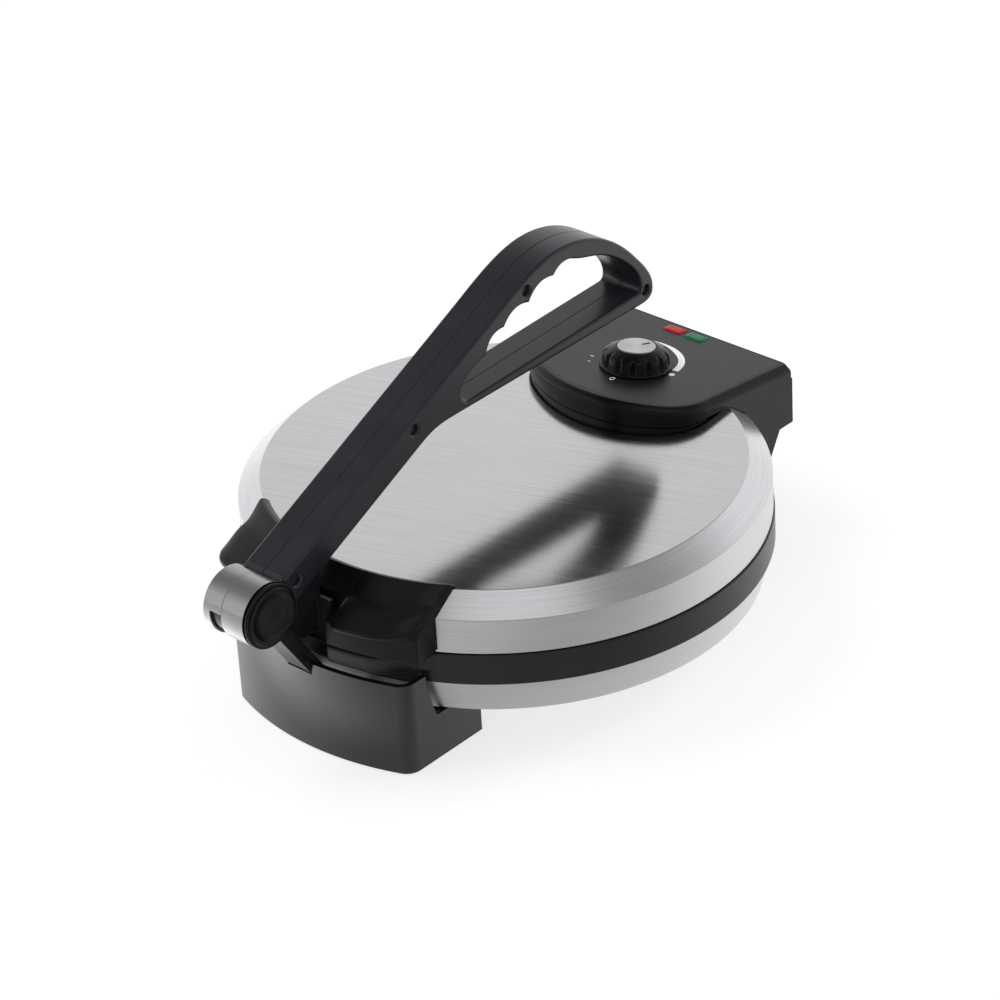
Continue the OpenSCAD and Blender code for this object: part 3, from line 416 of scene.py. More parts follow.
# --- shared effects
def effect(name, inputs, outputs):
    """A new shader node group with named value sockets: the group, its wiring, its inputs'
    and outputs' inner ends and the place in the object's own space."""
    group = bpy.data.node_groups.new(name, "ShaderNodeTree")
    for label, value in inputs.items():
        socket = group.interface.new_socket(label, in_out="INPUT", socket_type="NodeSocketFloat")
        socket.default_value = value
    for label in outputs:
        group.interface.new_socket(label, in_out="OUTPUT", socket_type="NodeSocketFloat")
    w = Wiring(group)
    entry, leave = w.add("NodeGroupInput").outputs, w.add("NodeGroupOutput").inputs
    return group, w, entry, leave, w.add("ShaderNodeTexCoord").outputs["Object"]


class Wiring:
    """Short calls to add nodes to a tree and join them."""

    def __init__(self, tree):
        self.tree = tree

    def add(self, kind, settings=None, **values):
        node = self.tree.nodes.new(kind)
        for key, value in (settings or {}).items():
            setattr(node, key, value)
        return self.fill(node, **values)

    def fill(self, node, **values):
        """Sets or joins a node's inputs by name, or by number after an underscore."""
        for key, value in values.items():
            socket = node.inputs[int(key[1:]) if key[0] == "_" else key.replace("_", " ")]
            if isinstance(value, bpy.types.NodeSocket):
                self.link(value, socket)
            else:
                socket.default_value = value
        return node

    def link(self, a, b):
        self.tree.links.new(a, b)

    def math(self, operation, a, b=0.0, clamp=False):
        settings = {"operation": operation, "use_clamp": clamp}
        return self.add("ShaderNodeMath", settings, _0=a, _1=b).outputs[0]

    def times(self, a, b):
        return self.math("MULTIPLY", a, b)

    def vector(self, operation, output="Vector", **values):
        return self.add("ShaderNodeVectorMath", {"operation": operation}, **values).outputs[output]

    def along(self, place, direction):
        return self.vector("DOT_PRODUCT", "Value", _0=place, _1=direction)

    def noise(self, place, scale, **values):
        return self.add("ShaderNodeTexNoise", None, Vector=place, Scale=scale, **values).outputs[0]

    def ramp(self, value, low, high, out_low=0.0, out_high=1.0, kind="LINEAR"):
        return self.add("ShaderNodeMapRange", {"interpolation_type": kind}, Value=value,
                        From_Min=low, From_Max=high, To_Min=out_low, To_Max=out_high).outputs[0]

    def ease(self, value, low, high, out_low, out_high):
        return self.ramp(value, low, high, out_low, out_high, "SMOOTHSTEP")

    def mix(self, share, a, b):
        return self.add("ShaderNodeMix", {"data_type": "RGBA"}, _0=share, _6=a, _7=b).outputs[2]


def straight_brush():
    """Long fine scratches along one direction, as a value about 0.5: noise stretched along
    the direction, six tenths of it fine and four tenths coarse."""
    group, w, entry, leave, place = effect("Straight Brush", {"Direction": 0.0},
                                           ("Streaks", "Clouds"))
    turned = w.add("ShaderNodeVectorRotate", {"rotation_type": "Z_AXIS"}, Vector=place,
                   Angle=entry[0]).outputs[0]
    fine = w.noise(w.vector("MULTIPLY", _0=turned, _1=(16, 4200, 1)), 1.0, Detail=3.0,
                   Roughness=0.6)
    coarse = w.noise(w.vector("MULTIPLY", _0=turned, _1=(7, 900, 1)), 1.0, Detail=2.0,
                     Roughness=0.5)
    w.link(w.math("ADD", w.times(fine, 0.6), w.times(coarse, 0.4)), leave[0])
    w.link(w.noise(place, 16.0, Detail=3.0), leave[1])
    return group


def ring_brush():
    """Fine scratches that run round the upright axis of the drum: noise over the distance
    from the axis, the height and, much more slowly, the angle round the axis."""
    group, w, entry, leave, place = effect("Ring Brush", {"Centre Y": 0.0},
                                           ("Streaks", "Clouds"))
    x, y, z = w.add("ShaderNodeSeparateXYZ", None, _0=place).outputs
    y = w.math("SUBTRACT", y, entry[0])
    radius = w.math("SQRT", w.math("ADD", w.times(x, x), w.times(y, y)))
    across, round_axis = 7000.0, 2.4
    line = w.add("ShaderNodeCombineXYZ", None, _0=w.times(radius, across), _1=w.times(z, across),
                 _2=w.times(w.math("ARCTAN2", y, x), round_axis)).outputs[0]
    w.link(w.noise(line, 1.0, Detail=3.0, Roughness=0.6), leave[0])
    w.link(w.noise(place, 20.0, Detail=3.0), leave[1])
    return group


def moulded_skin():
    """The faint grain, the handling marks and the dust of a moulding."""
    sizes = {"Grain Size": 900.0, "Smear Size": 22.0}
    group, w, entry, leave, place = effect("Moulded Skin", sizes, ("Grain", "Smears", "Dust"))
    specks = w.add("ShaderNodeTexVoronoi", None, Vector=place, Scale=420.0)
    w.link(w.noise(place, entry[0], Detail=2.0, Roughness=0.6), leave[0])
    w.link(w.noise(place, entry[1], Detail=4.0, Roughness=0.6), leave[1])
    w.link(w.ramp(specks.outputs["Distance"], 0.08, 0.02), leave[2])
    return group


def toned(tint, gain, lift=0.0):
    """A colour scaled and lifted, each part at most one, and solid."""
    return tuple(min(1, c * gain + lift) for c in tint) + (1,)


# attribute, name, colour or its name among the finishes, brush and the value of its input,
# roughness and how far the streaks move it, depth of the streaks, anisotropy
METALS = (
    ("lid_top", "lid_top_steel", "steel", "straight", math.radians(-20), 0.15, 0.05, 0.22, 0.35),
    ("bevel", "bevel_steel", "bevel", "rings", DRUM_Y * MM, 0.24, 0.03, 0.06, 0.5),
    ("skirt", "skirt_steel", "skirt", "rings", DRUM_Y * MM, 0.36, 0.03, 0.10, 0.4),
    # the barrel's steel is darker than the lid's: painted shade for the black lever and ears that
    # it mirrors
    ("barrel", "barrel_steel", "barrel", "rings", DRUM_Y * MM, 0.26, 0.03, 0.04, 0.0),
    ("plated", "plated_steel", (0.55, 0.55, 0.56), "straight", 0.0, 0.32, 0.1, 0.1, 0.0),
    ("sheet", "inner_sheet", (0.42, 0.43, 0.44), "straight", 0.0, 0.42, 0.1, 0.2, 0.3),
    ("element", "element_steel", (0.16, 0.13, 0.11), "straight", 0.0, 0.5, 0.15, 0.2, 0.0),
    ("silver", "knob_silver", (0.56, 0.56, 0.575), "straight", 0.0, 0.36, 0.08, 0.1, 0.4),
)
# attribute, name, colour, roughness and how far the smears move it, depth of the grain, coat
# and, where it isn't the usual one, specular level
PLASTICS = (
    ("lever", "lever_moulding", "lever", 0.30, 0.08, 0.05, 0.0),
    ("gloss", "gloss_moulding", "gloss_black", 0.27, 0.06, 0.02, 0.0, 0.2),
    ("foot", "foot_black", "gloss_black", 0.30, 0.05, 0.02, 0.7),
    ("band", "band_moulding", "band_black", 0.36, 0.08, 0.03, 0.0),
    ("panel", "panel_skin", "panel", 0.40, 0.06, 0.04, 0.0),
    ("satin", "satin_moulding", "band_black", 0.24, 0.08, 0.03, 0.0),
    ("rubber", "pad_rubber", (0.02, 0.02, 0.02), 0.75, 0.1, 0.12, 0.0),
    ("coating", "plate_coating", (0.022, 0.022, 0.024), 0.38, 0.1, 0.10, 0.1),
    ("ceramic", "thermostat_body", (0.42, 0.38, 0.30), 0.6, 0.1, 0.08, 0.0),
    ("print", "dial_print", (0.93, 0.93, 0.94), 0.5, 0.06, 0.02, 0.0),
    # the mark's near-black also goes on the lever's screws as painted shade in their recesses
    ("mark", "knob_mark", (0.01, 0.01, 0.01), 0.5, 0.06, 0.02, 0.0),
)
LENSES = (("red", "red_lens", "red"), ("green", "green_lens", "green"),
          ("bulb", "bulb_glass", (0.7, 0.5, 0.3)))


class Finishes:
    """Every material, made once."""

    def __init__(self):
        look = bpy.context.scene.roti_finish
        self.straight, self.rings, self.skin = straight_brush(), ring_brush(), moulded_skin()
        for make, rows in ((self.brushed, METALS), (self.moulded, PLASTICS), (self.lens, LENSES)):
            for key, name, tint, *row in rows:
                tint = getattr(look, tint) if isinstance(tint, str) else tint
                setattr(self, key, make(name, tint, *row))

    def start(self, name, effect_group, **values):
        """A new material: itself, its wiring, its shader and the outputs of an effect."""
        material = bpy.data.materials.new(name)
        material.use_nodes = True
        w = Wiring(material.node_tree)
        node = w.add("ShaderNodeGroup", {"node_tree": effect_group}, **values)
        return material, w, w.tree.nodes["Principled BSDF"], node.outputs

    def brushed(self, name, tint, brush, value, rough, swing, depth, anisotropy):
        """Brushed metal: the streaks move the roughness, the colour and a shallow bump."""
        material, w, shader, (streaks, clouds) = self.start(name, getattr(self, brush), _0=value)
        low, high = toned(tint, 0.86), toned(tint, 1.08)
        mark = w.math("ADD", w.times(w.math("SUBTRACT", streaks, 0.5), swing * 3),
                      w.times(w.math("SUBTRACT", clouds, 0.5), swing))
        bump = w.add("ShaderNodeBump", None, Strength=depth, Distance=0.00005, Height=streaks)
        w.fill(shader, Base_Color=w.mix(w.ramp(streaks, 0.35, 0.65), low, high),
               Roughness=w.math("ADD", mark, rough, clamp=True), Normal=bump.outputs[0],
               Metallic=1.0, Anisotropic=anisotropy)
        return material

    def moulded(self, name, tint, rough, swing, depth, coat, specular=0.36):
        """Moulded plastic or a coating: fine grain, handling smears and a little dust."""
        material, w, shader, (grain, smears, dust) = self.start(name, self.skin)
        base, pale = toned(tint, 1), toned(tint, 1.5, 0.004)
        dusty = w.math("ADD", rough, w.times(dust, 0.1))
        bump = w.add("ShaderNodeBump", None, Strength=depth * 4, Distance=0.00008, Height=grain)
        w.fill(shader, Base_Color=w.mix(w.times(w.ramp(smears, 0.4, 0.7), 0.5), base, pale),
               Roughness=w.math("ADD", w.times(w.math("SUBTRACT", smears, 0.5), swing * 2),
                                dusty, clamp=True),
               Normal=bump.outputs[0], Specular_IOR_Level=specular, Coat_Weight=coat)
        return material

    def lens(self, name, tint):
        """A coloured clear moulding with fine mottling."""
        material, w, shader, outputs = self.start(name, self.skin, Smear_Size=160.0)
        smears, base, deep = outputs[1], toned(tint, 1), toned(tint, 0.55)
        w.fill(shader, Base_Color=w.mix(w.ramp(smears, 0.35, 0.65), deep, base),
               Roughness=w.ramp(smears, 0.3, 0.7, 0.16, 0.30), Specular_IOR_Level=0.2)
        return material


FINISH = {}


def finishes():
    """The materials, made on first use."""
    if "all" not in FINISH:
        FINISH["all"] = Finishes()
    return FINISH["all"]


def dress(node, material):
    """Gives a node that stays its material."""
    obj = frame["nodes"][node]
    obj.data.materials.clear()
    obj.data.materials.append(material)


# --- steel drum
def by_height(*levels):
    """Material index of a face: how many of the levels its middle lies below."""
    def index(centres):
        return np.sum([centres[:, 2] < level for level in levels], axis=0).astype(np.int32)
    return index


class ROTI_OT_drum(Operator):
    """Lid shell and pan as turned profiles with worked corners"""

    bl_idname = "roti.drum"
    bl_label = "Drum"

    def execute(self, context):
        f, n = finishes(), context.scene.roti_sizes.segments
        top_r, skirt_r = 129.5, DRUM_R - 0.15
        lid = fillet([(0.01, LID_TOP), (top_r, LID_TOP), (skirt_r, BEVEL_Z),
                      (skirt_r, BEVEL_Z - 0.25), (DRUM_R, BEVEL_Z - 0.6),
                      (DRUM_R, SKIRT_LOW), (DRUM_R - SHEET, SKIRT_LOW),
                      (DRUM_R - SHEET, BEVEL_Z - 0.6), (top_r - 0.4, LID_TOP - SHEET),
                      (0.01, LID_TOP - SHEET)],
                     (0, 0.9, 0.12, 0.1, 0.3, 0.3, 0.3, 0.4, 0.6, 0), 4)
        piece("lid_skin", revolve(lid, n), "lid", "brushed_lid_steel", "lid_shell",
              (f.lid_top, f.bevel, f.skirt), 20, by_height(LID_TOP - 0.25, BEVEL_Z - 0.3))
        low, high = box_mm("base_pan")
        foot, wall, top, well_r, flare_z = low[2], high[0], high[2], 133.2, 48.0
        foot_r = 136.5
        pan = fillet([(foot_r - 17, foot), (foot_r, foot), (wall, flare_z - 0.3), (wall, top),
                      (well_r, top), (well_r, top - SHEET), (wall - SHEET, top - SHEET),
                      (wall - SHEET, flare_z), (foot_r - SHEET, foot + SHEET),
                      (foot_r - 17, foot + SHEET)],
                     (0.3, 2.2, 0, 0.3, 0.3, 0.3, 0.3, 0, 1.4, 0.3), 5)
        piece("pan_skin", revolve(pan, n), "base", "brushed_lid_steel", "base_pan", (f.skirt,), 24)
        return {"FINISHED"}


# --- lid handle and band
def on_arc(u, v, w):
    """Profiles of (radius, height) with level as x: y is minus the root of radius squared
    less x squared, so the shape bends round the drum."""
    return np.stack([w, -np.sqrt(np.maximum(u * u - w * w, 0)), v], 1)


def ear_front(x, x0, x1, corner0, corner1):
    """Greatest radius of an ear's plan at x: the ear's arc between two corner circles that
    touch it from inside and touch the sides x0 and x1."""
    limit = np.full(len(x), EAR_R)
    for side, corner, sign in ((x0, corner0, 1), (x1, corner1, -1)):
        cx = side + sign * corner
        cy = math.sqrt((EAR_R - corner) ** 2 - cx * cx)
        past = (x - cx * EAR_R / (EAR_R - corner)) * sign < 0
        reach = cy + np.sqrt(np.maximum(corner**2 - (x - cx) ** 2, 0))
        limit = np.where(past, np.hypot(x, reach), limit)
    return limit


def ear_profile():
    """Closed outline of (radius, height): crest over the lid, scooped rest, lip, underside."""
    top, low = LID_TOP + 3.9, SKIRT_LOW + 1
    start, crest = DRUM_R - 14.9, DRUM_R - 9.5
    scoop, lip, tip = (EAR_R - 17, top - 8.8), (EAR_R - 1.6, top - 15.4), (EAR_R - 2.2, top - 19.6)
    return path(
        [(DRUM_R + 0.3, low), (DRUM_R + 0.3, BEVEL_Z + 0.2), (DRUM_R - 12.4, LID_TOP + 0.3)],
        curve((start, LID_TOP + 0.3),
              ((start + 1.4, top - 1.6), (crest - 1.8, top), (crest, top), 6),
              ((crest + 4.5, top - 2.4), (scoop[0] - 6.5, scoop[1] + 0.8), scoop, 12),
              ((scoop[0] + 5.5, scoop[1] - 0.7), (lip[0] - 4.9, lip[1] + 1.6), lip, 10),
              ((EAR_R, lip[1] - 0.8), (EAR_R + 0.2, lip[1] - 3.2), tip, 6)),
        [(NOSE_R - 1, tip[1] - 1.8), (NOSE_R - 3, low)])[::-1]


def ear(side, x1, corner):
    """One ear: the profile set at stations across, its reach past the back scaled by the
    share of the plan's reach that is left there, with rounded ends."""
    x0, inner_corner = EAR_INNER, 8.0

    def place(u, v, w):
        limit = ear_front(w, x0, x1, inner_corner, corner)
        share = (limit - EAR_BACK) / (EAR_R - EAR_BACK)
        r = np.where(u > EAR_BACK, EAR_BACK + (u - EAR_BACK) * share, u)
        return on_arc(r, v, w) * (side, 1, 1)

    turns = np.linspace(0, math.pi, 40)[1:-1]
    stations = (x0 + 1.5) + (x1 - x0 - 2.8) * (1 - np.cos(turns)) / 2
    return slab([ear_profile()], spread(x0, x1, 1.5, 1.3, 6, stations), place)


def nose(side, x1, low, high, shoulder, fade=None):
    """A wall of the nose: a profile of (radius, height) at stations across. With fade, the
    reach eases to nothing between its two distances by a smooth step."""
    inner = WALL_R if fade is None else DRUM_R
    outline = fillet([(inner, low), (NOSE_R, low), (NOSE_R, high - shoulder),
                      (NOSE_R - shoulder * 0.8, high), (inner, high)], (0.3, 1.0, 3.0, 2.0, 0.3), 5)

    def place(u, v, w):
        if fade is not None:
            t = np.clip((w - fade[0]) / (fade[1] - fade[0]), 0, 1)
            u = inner + (u - inner) * (1 - t * t * (3 - 2 * t)) - 0.4 * t
        return on_arc(u, v, w) * (side, 1, 1)

    stations = np.linspace(CHANNEL_HALF + 1, x1 - 1, 30)
    return slab([outline], spread(CHANNEL_HALF, x1, 0.8, 0.8, 4, stations), place)


def crest_bridge():
    """The crest carried across the channel: the ear's profile cut off at the channel's back."""
    kept = ear_profile()
    kept = kept[kept[:, 0] < CHANNEL_BACK - 1.2]
    back, reach = CHANNEL_BACK - 1, EAR_INNER + 2
    outline = np.concatenate([kept, [(back, SKIRT_LOW + 1), (back, kept[0][1] - 0.3)]])
    return slab([outline], [(0, x) for x in np.linspace(-reach, reach, 24)], on_arc)


class ROTI_OT_lid_handle(Operator):
    """Both ears with their scooped rests and lips, the nose and the channel's back wall"""

    bl_idname = "roti.lid_handle"
    bl_label = "Lid Handle"

    def execute(self, context):
        f = finishes()
        half, low, high = CHANNEL_HALF + 1.5, SKIRT_LOW + 0.1, 84.5
        back = arc((0, 0), WALL_R, 277, 263, 10)
        web = np.concatenate([[(-half, -CHANNEL_BACK), (half, -CHANNEL_BACK)], back])
        parts = [ear(1, 66.0, 27.0), ear(-1, 71.0, 15.0), crest_bridge(),
                 nose(1, 66.5, low, high, 4.0), nose(-1, 66.5, low, high, 4.0),
                 slab([web], [(0, low), (0, high - 0.5), (0.6, high + 0.1)], upright)]
        piece("lid_handle_moulding", joined(parts), "lid", "black_moulding", "lid_handle",
              (f.gloss,), 32)
        return {"FINISHED"}


class ROTI_OT_band(Operator):
    """Black band round the base with its nose, which eases into the band at both ends"""

    bl_idname = "roti.band"
    bl_label = "Band"

    def execute(self, context):
        f = finishes()
        low, high = (corner[2] for corner in box_mm("trim_band"))
        seat, out, well, step_z = DRUM_R - 0.6, DRUM_R + 0.8, DRUM_R - 13.7, 62.5
        ring = fillet([(seat, low), (out, low), (out, high), (well + 5.9, high),
                       (well, high - 1.2), (well, step_z), (seat, step_z)],
                      (0.1, 0.6, 0.9, 1.0, 0.4, 0.2, 0.1), 5)
        apron = fillet([(seat, 46.0), (DRUM_R + 1.0, 46.0), (DRUM_R + 3.4, 57.5), (seat, 57.5)],
                       0.3, 3)
        across = spread(-58, 58, 0.5, 0.5, 5, np.linspace(-57, 57, 60))
        parts = [revolve(ring, context.scene.roti_sizes.segments)]
        parts += [nose(side, 71.0, 56.0, high - 0.05, 1.2, (40.0, 70.0)) for side in (-1, 1)]
        parts.append(slab([apron], across, on_arc))
        piece("band_moulding", joined(parts), "base", "black_moulding", "trim_band", (f.band,), 32)
        return {"FINISHED"}


class ROTI_OT_mouldings(Operator):
    """Feet, bracket and ferrules as worked copies, and the barrel's turned ring and cap"""

    bl_idname = "roti.mouldings"
    bl_label = "Mouldings"

    def execute(self, context):
        f = finishes()
        for node, name, body, slot, material, width in (
                ("front_foot", "front_foot_moulding", "base", "gloss_black", f.foot, 0.6),
                ("rear_foot", "rear_foot_moulding", "base", "gloss_black", f.foot, 0.6),
                ("lever_bracket", "bracket_moulding", "lid", "satin_black", f.satin, 0.5),
                # the ferrules share the barrel's darkened steel, which is painted shade
                ("fixed_ferrule", "ferrule_fixed", "lid", "barrel_steel", f.barrel, 0.25),
                ("turning_ferrule", "ferrule_turning", "lever", "barrel_steel", f.barrel, 0.25)):
            worked_copy(node, name, body, slot, material, width)
        about = {"segments": 96, "axis": "x", "centre": (0, PIVOT_Y, PIVOT_Z)}
        low, high = (corner[0] for corner in box_mm("cap_ring"))
        r, cap_r = BARREL_R, BARREL_R - 1.8
        rim = fillet([(cap_r, low), (r, low), (r, high), (cap_r, high)], (0.1, 0.3, 0.9, 0.3), 5)
        piece("barrel_rim", revolve(rim, **about), "lever", "gloss_black", "cap_ring",
              (f.gloss,), 40)
        low, high = (corner[0] for corner in box_mm("end_cap"))
        edge = fillet([(cap_r, high - 1.6), (cap_r, high), (cap_r * 0.84, high)], (0, 0.8, 0), 6)
        dish = bezier((cap_r * 0.80, high - 0.5), (cap_r * 0.66, high - 1.9),
                      (cap_r * 0.4, high - 1.7), (0.01, high - 1.6), 12)
        cap = np.concatenate([[(0.01, low), (cap_r, low)], edge[1:], dish])
        piece("barrel_cap", revolve(cap, **about), "lever", "gloss_black", "end_cap",
              (f.gloss,), 40)
        return {"FINISHED"}


# --- control housing
def on_panel(u, v, w):
    """Plan outlines with level as height above the tilted panel, taken square to it."""
    z = PANEL_Z - (v - HOUSING_FRONT) * math.tan(TILT) + w / math.cos(TILT)
    return np.stack([u, v, z], 1)


def about_knob(u, v, w):
    """Outlines drawn on the panel about the knob's axis, turned by the tilt."""
    c, s = math.cos(TILT), math.sin(TILT)
    return np.stack([KNOB[0] + u, KNOB[1] + v * c + w * s, KNOB[2] - v * s + w * c], 1)


def housing_plan(inset_by):
    """The housing's plan outline moved in by a distance, by less at its straight back."""
    centre_y = HOUSING_FRONT + FRONT_R
    back = HOUSING_BACK - centre_y - min(inset_by, BACK_ROUND) - max(0, inset_by - 5.2) * 0.6
    return bow(FRONT_R - inset_by, HOUSING_HALF - inset_by, 30 - inset_by, back, centre_y)


def stacked(rings, place, close=False):
    """Rings of (outline, level) joined in order; the first and last are capped unless the
    stack closes on itself."""
    count = len(rings[0][0])
    points = np.concatenate([place(o[:, 0], o[:, 1], np.full(count, float(w))) for o, w in rings])
    faces = [tuple(f) for f in ring_faces(len(rings), count, close)]
    if not close:
        for k in (0, len(rings) - 1):
            faces += [tuple(f + k * count) for f in cap_faces([rings[k][0]])]
    return points, faces


def below_seam():
    """The CAD housing under the seam's plane: merged, cut by the plane and filled there."""
    cut = merged(frame["nodes"]["control_housing"].data, 4e-6)
    normal = Vector((0, math.sin(TILT), math.cos(TILT)))
    through = (Vector(KNOB) + Vector((0, DRUM_Y, 0)) - normal * SEAM) * MM
    everything = cut.verts[:] + cut.edges[:] + cut.faces[:]
    found = bmesh.ops.bisect_plane(cut, geom=everything, dist=1e-7, plane_co=through,
                                   plane_no=normal, clear_outer=True)
    edges = [e for e in found["geom_cut"] if isinstance(e, bmesh.types.BMEdge)]
    bmesh.ops.triangle_fill(cut, use_beauty=True, edges=edges, normal=normal)
    cut.verts.index_update()
    points = np.array([v.co[:] for v in cut.verts]) / MM - (0, DRUM_Y, 0)
    faces = [tuple(v.index for v in face.verts) for face in cut.faces]
    cut.free()
    return points, faces


def window(node, grow):
    """A lens's outline on the panel about the knob, and its middle: a rounded rectangle."""
    low, high = box_mm(node)
    x = (low[0] + high[0]) / 2
    y = ((low[1] + high[1]) / 2 - DRUM_Y - KNOB[1]) / math.cos(TILT)
    a, b = 6.3 + grow, 3.8 + grow
    corners = [(x - a, y - b), (x - a, y + b), (x + a, y + b), (x + a, y - b)]
    return fillet(corners, 1.3, 5), (x, y)


def inlay(f):
    """The panel, let into the housing's rim and pierced for both lenses."""
    plan = housing_plan(RIM_W)
    flat = np.stack([plan[:, 0] - KNOB[0], (plan[:, 1] - KNOB[1]) / math.cos(TILT)], 1)
    holes = [window(node, 0.15)[0] for node in ("red_lens", "green_lens")]
    levels = [(0, -1.7), (0, -0.35), (0.1, -0.15), (0.3, -0.08)]
    shape = slab([flat] + holes, levels, about_knob)
    piece("panel_inlay", shape, "lid", "satin_black", "control_panel", (f.panel,), 30)


def lamps(f):
    """Each lens rises from its window by the sine of a quarter turn as it draws in by the
    square of the same share."""
    for node, name, slot, material in (("red_lens", "lamp_red", "red_lamp", f.red),
                                       ("green_lens", "lamp_green", "green_lamp", f.green)):
        outline, middle = window(node, 0)
        rings = [(outline, -3.2), (outline, -0.1)]
        for t in np.linspace(0, 1, 7)[1:]:
            rings.append(((outline - middle) * (1 - 0.55 * t**2) + middle,
                          -0.1 + 0.9 * math.sin(t * math.pi / 2)))
        piece(name, stacked(rings, about_knob), "lid", slot, node, (material,), 50)


def dial_print(f):
    """A crescent that widens towards the hot end, a dot, a zero and three ticks, each a
    thin raised plate: the crescent's inner radius falls as a smooth step of the angle."""
    level, outer, tick_r, tick_half = [(0, -0.12), (0, -0.045)], 28.4, 25.0, 0.35
    t = np.clip((np.linspace(116, 9, 60) - 60) / 56, 0, 1)
    turn = arc((0, 0), 1, 116, 9, 59)
    inner = outer - 3.5 * (1 - t * t * (3 - 2 * t)) - 0.12
    crescent = np.concatenate([turn * outer, (turn * inner[:, None])[::-1]])[::-1]
    dot = arc((28.3, -1.0), 1.75, 0, 345, 23)
    zero_place = np.array([2.4, -22.5])
    zero = [arc((0, 0), 1, 0, 345, 23) * (1.35, 1.9) + zero_place,
            arc((0, 0), 1, 345, 0, 23) * (0.8, 1.35) + zero_place]
    marks = [[crescent + PRINT_SHIFT], [dot + PRINT_SHIFT], zero]
    for angle, length in ((196, 2.2), (212, 1.6), (147, 2.6)):
        marks.append([bar(angle, tick_r, tick_r + length, tick_half)])
    shape = joined([slab(loops, level, about_knob) for loops in marks])
    piece("dial_marks", shape, "lid", "knob_silver", None, (f.print,), 30)


class ROTI_OT_housing(Operator):
    """Control housing with a broad rounded rim, its inlaid panel and the dial's print"""

    bl_idname = "roti.housing"
    bl_label = "Control Housing"

    def execute(self, context):
        f = finishes()
        turns = np.linspace(0, math.pi / 2, 13)[1:]
        rim = [(0.0, -SEAM), (0.0, -5.0)]
        rim += [(4.6 * (1 - math.cos(a)), -5.0 * (1 - math.sin(a))) for a in turns]
        rim += [(5.6, 0.0), (5.75, -0.06), (5.8, -0.25), (5.8, -2.4), (7.6, -2.4), (7.6, -SEAM)]
        shell = stacked([(housing_plan(d), w) for d, w in rim], on_panel, True)
        piece("housing_moulding", joined([shell, below_seam()]), "lid", "gloss_black",
              "control_housing", (f.gloss,), 26)
        inlay(f)
        lamps(f)
        dial_print(f)
        return {"FINISHED"}


class ROTI_OT_knob(Operator):
    """Fluted knob with a polished shoulder, a brushed silver disc and its pointer"""

    bl_idname = "roti.knob"
    bl_label = "Knob"

    def execute(self, context):
        f = finishes()
        low, high = box_mm("knob_body")
        r = (high[0] - low[0]) / 2
        flutes, flute_depth = 13, 1.9
        t = np.linspace(0, 2 * math.pi, 361)[:-1]
        groove = flute_depth * (0.5 + 0.5 * np.cos(flutes * t)) ** 6
        turn = np.stack([np.cos(t), np.sin(t)], 1)
        # how far in from the greatest radius, height, share of the flutes' depth
        profile = [(r - 2, 0.3, 0), (0.3, 0.3, 0), (0, 0.6, 0), (0, 1.5, 0), (0.3, 1.9, 0),
                   (1.0, 2.0, 0), (1.1, 2.2, 0.4), (1.2, 3.0, 1), (1.7, 5.5, 1), (2.1, 7.4, 1),
                   (2.4, 8.2, 0.9), (2.9, 8.7, 0.7), (3.8, 9.2, 0.35), (5.2, 9.9, 0.1),
                   (6.6, 10.6, 0), (8.1, 11.3, 0), (8.6, 11.5, 0), (9.0, 11.5, 0), (9.2, 11.3, 0),
                   (9.2, 10.4, 0), (r - 2, 10.4, 0)]
        rings = [(turn * (r - d - share * groove)[:, None], z) for d, z, share in profile]
        piece("dial_knob", stacked(rings, about_knob), "knob", "gloss_black", "knob_body",
              (f.gloss,), 44)
        ring, cap_r = arc((0, 0), 1, 0, 357, 119), 10.6
        levels = [(cap_r, 10.45), (cap_r, 11.55), (cap_r - 0.25, 11.8), (cap_r - 0.6, 11.86),
                  (cap_r * 0.5, 11.93), (1.0, 11.95)]
        disc = stacked([(ring * a, z) for a, z in levels], about_knob)
        piece("dial_cap", disc, "knob", "knob_silver", "knob_cap", (f.silver,), 50)
        mark = fillet(bar(68, 3.4, 8.4, 0.75), 0.5, 4)
        piece("dial_pointer", slab([mark], [(0, 11.6), (0, 12.0)], about_knob), "knob",
              "gloss_black", None, (f.mark,), 40)
        return {"FINISHED"}


# --- lever
def lever_outline():
    """The lever's side outline about the pivot, anticlockwise in (y, z): cradle, underside,
    tail, crown and top."""
    slope, over, under, cradle = math.radians(25.4), 8.3, 9.7, 20.5
    low = lambda y: (y * math.sin(slope) - under) / math.cos(slope)
    high = lambda y: (y * math.sin(slope) + over) / math.cos(slope)
    meet_low = 25.4 - math.degrees(math.asin(under / cradle))
    meet_high = 25.4 + math.degrees(math.asin(over / cradle))
    return path(
        arc((0, 0), cradle, -39, meet_low, 16),
        [(60, low(60)), (90, low(90))],
        bezier((115, low(115)), (124, low(124)), (129, 49.2), (140, 49.3), 10),
        [(180, 49.45), (230, 49.65)],
        curve((289.6, 49.9), ((296.6, 49.9), (300.1, 52.7), (299.6, 58.3), 10),
              ((299.6, 64.7), (293.6, 72.2), (287.6, 78.7), 10),
              ((273.6, 95.7), (253.6, 109.7), (227.6, 109.7), 24),
              ((207.6, 109.7), (189.6, high(189.6)), (169.6, high(169.6)), 20)),
        [(120, high(120)), (70, high(70)), (30, high(30))],
        arc((0, 0), cradle, meet_high, 52, 3),
        arc((0, 0), 17.55, 52, -39, 50))


def scallop(p, q, sag, steps=10):
    """A shallow arch between two cusps that stands off their chord by sag in its middle."""
    p, q = np.array(p, float), np.array(q, float)
    run = q - p
    side = np.array([-run[1], run[0]]) / np.linalg.norm(run)
    t = np.linspace(0, 1, steps + 1)[:, None]
    return p + t * run + 4 * sag * t * (1 - t) * side


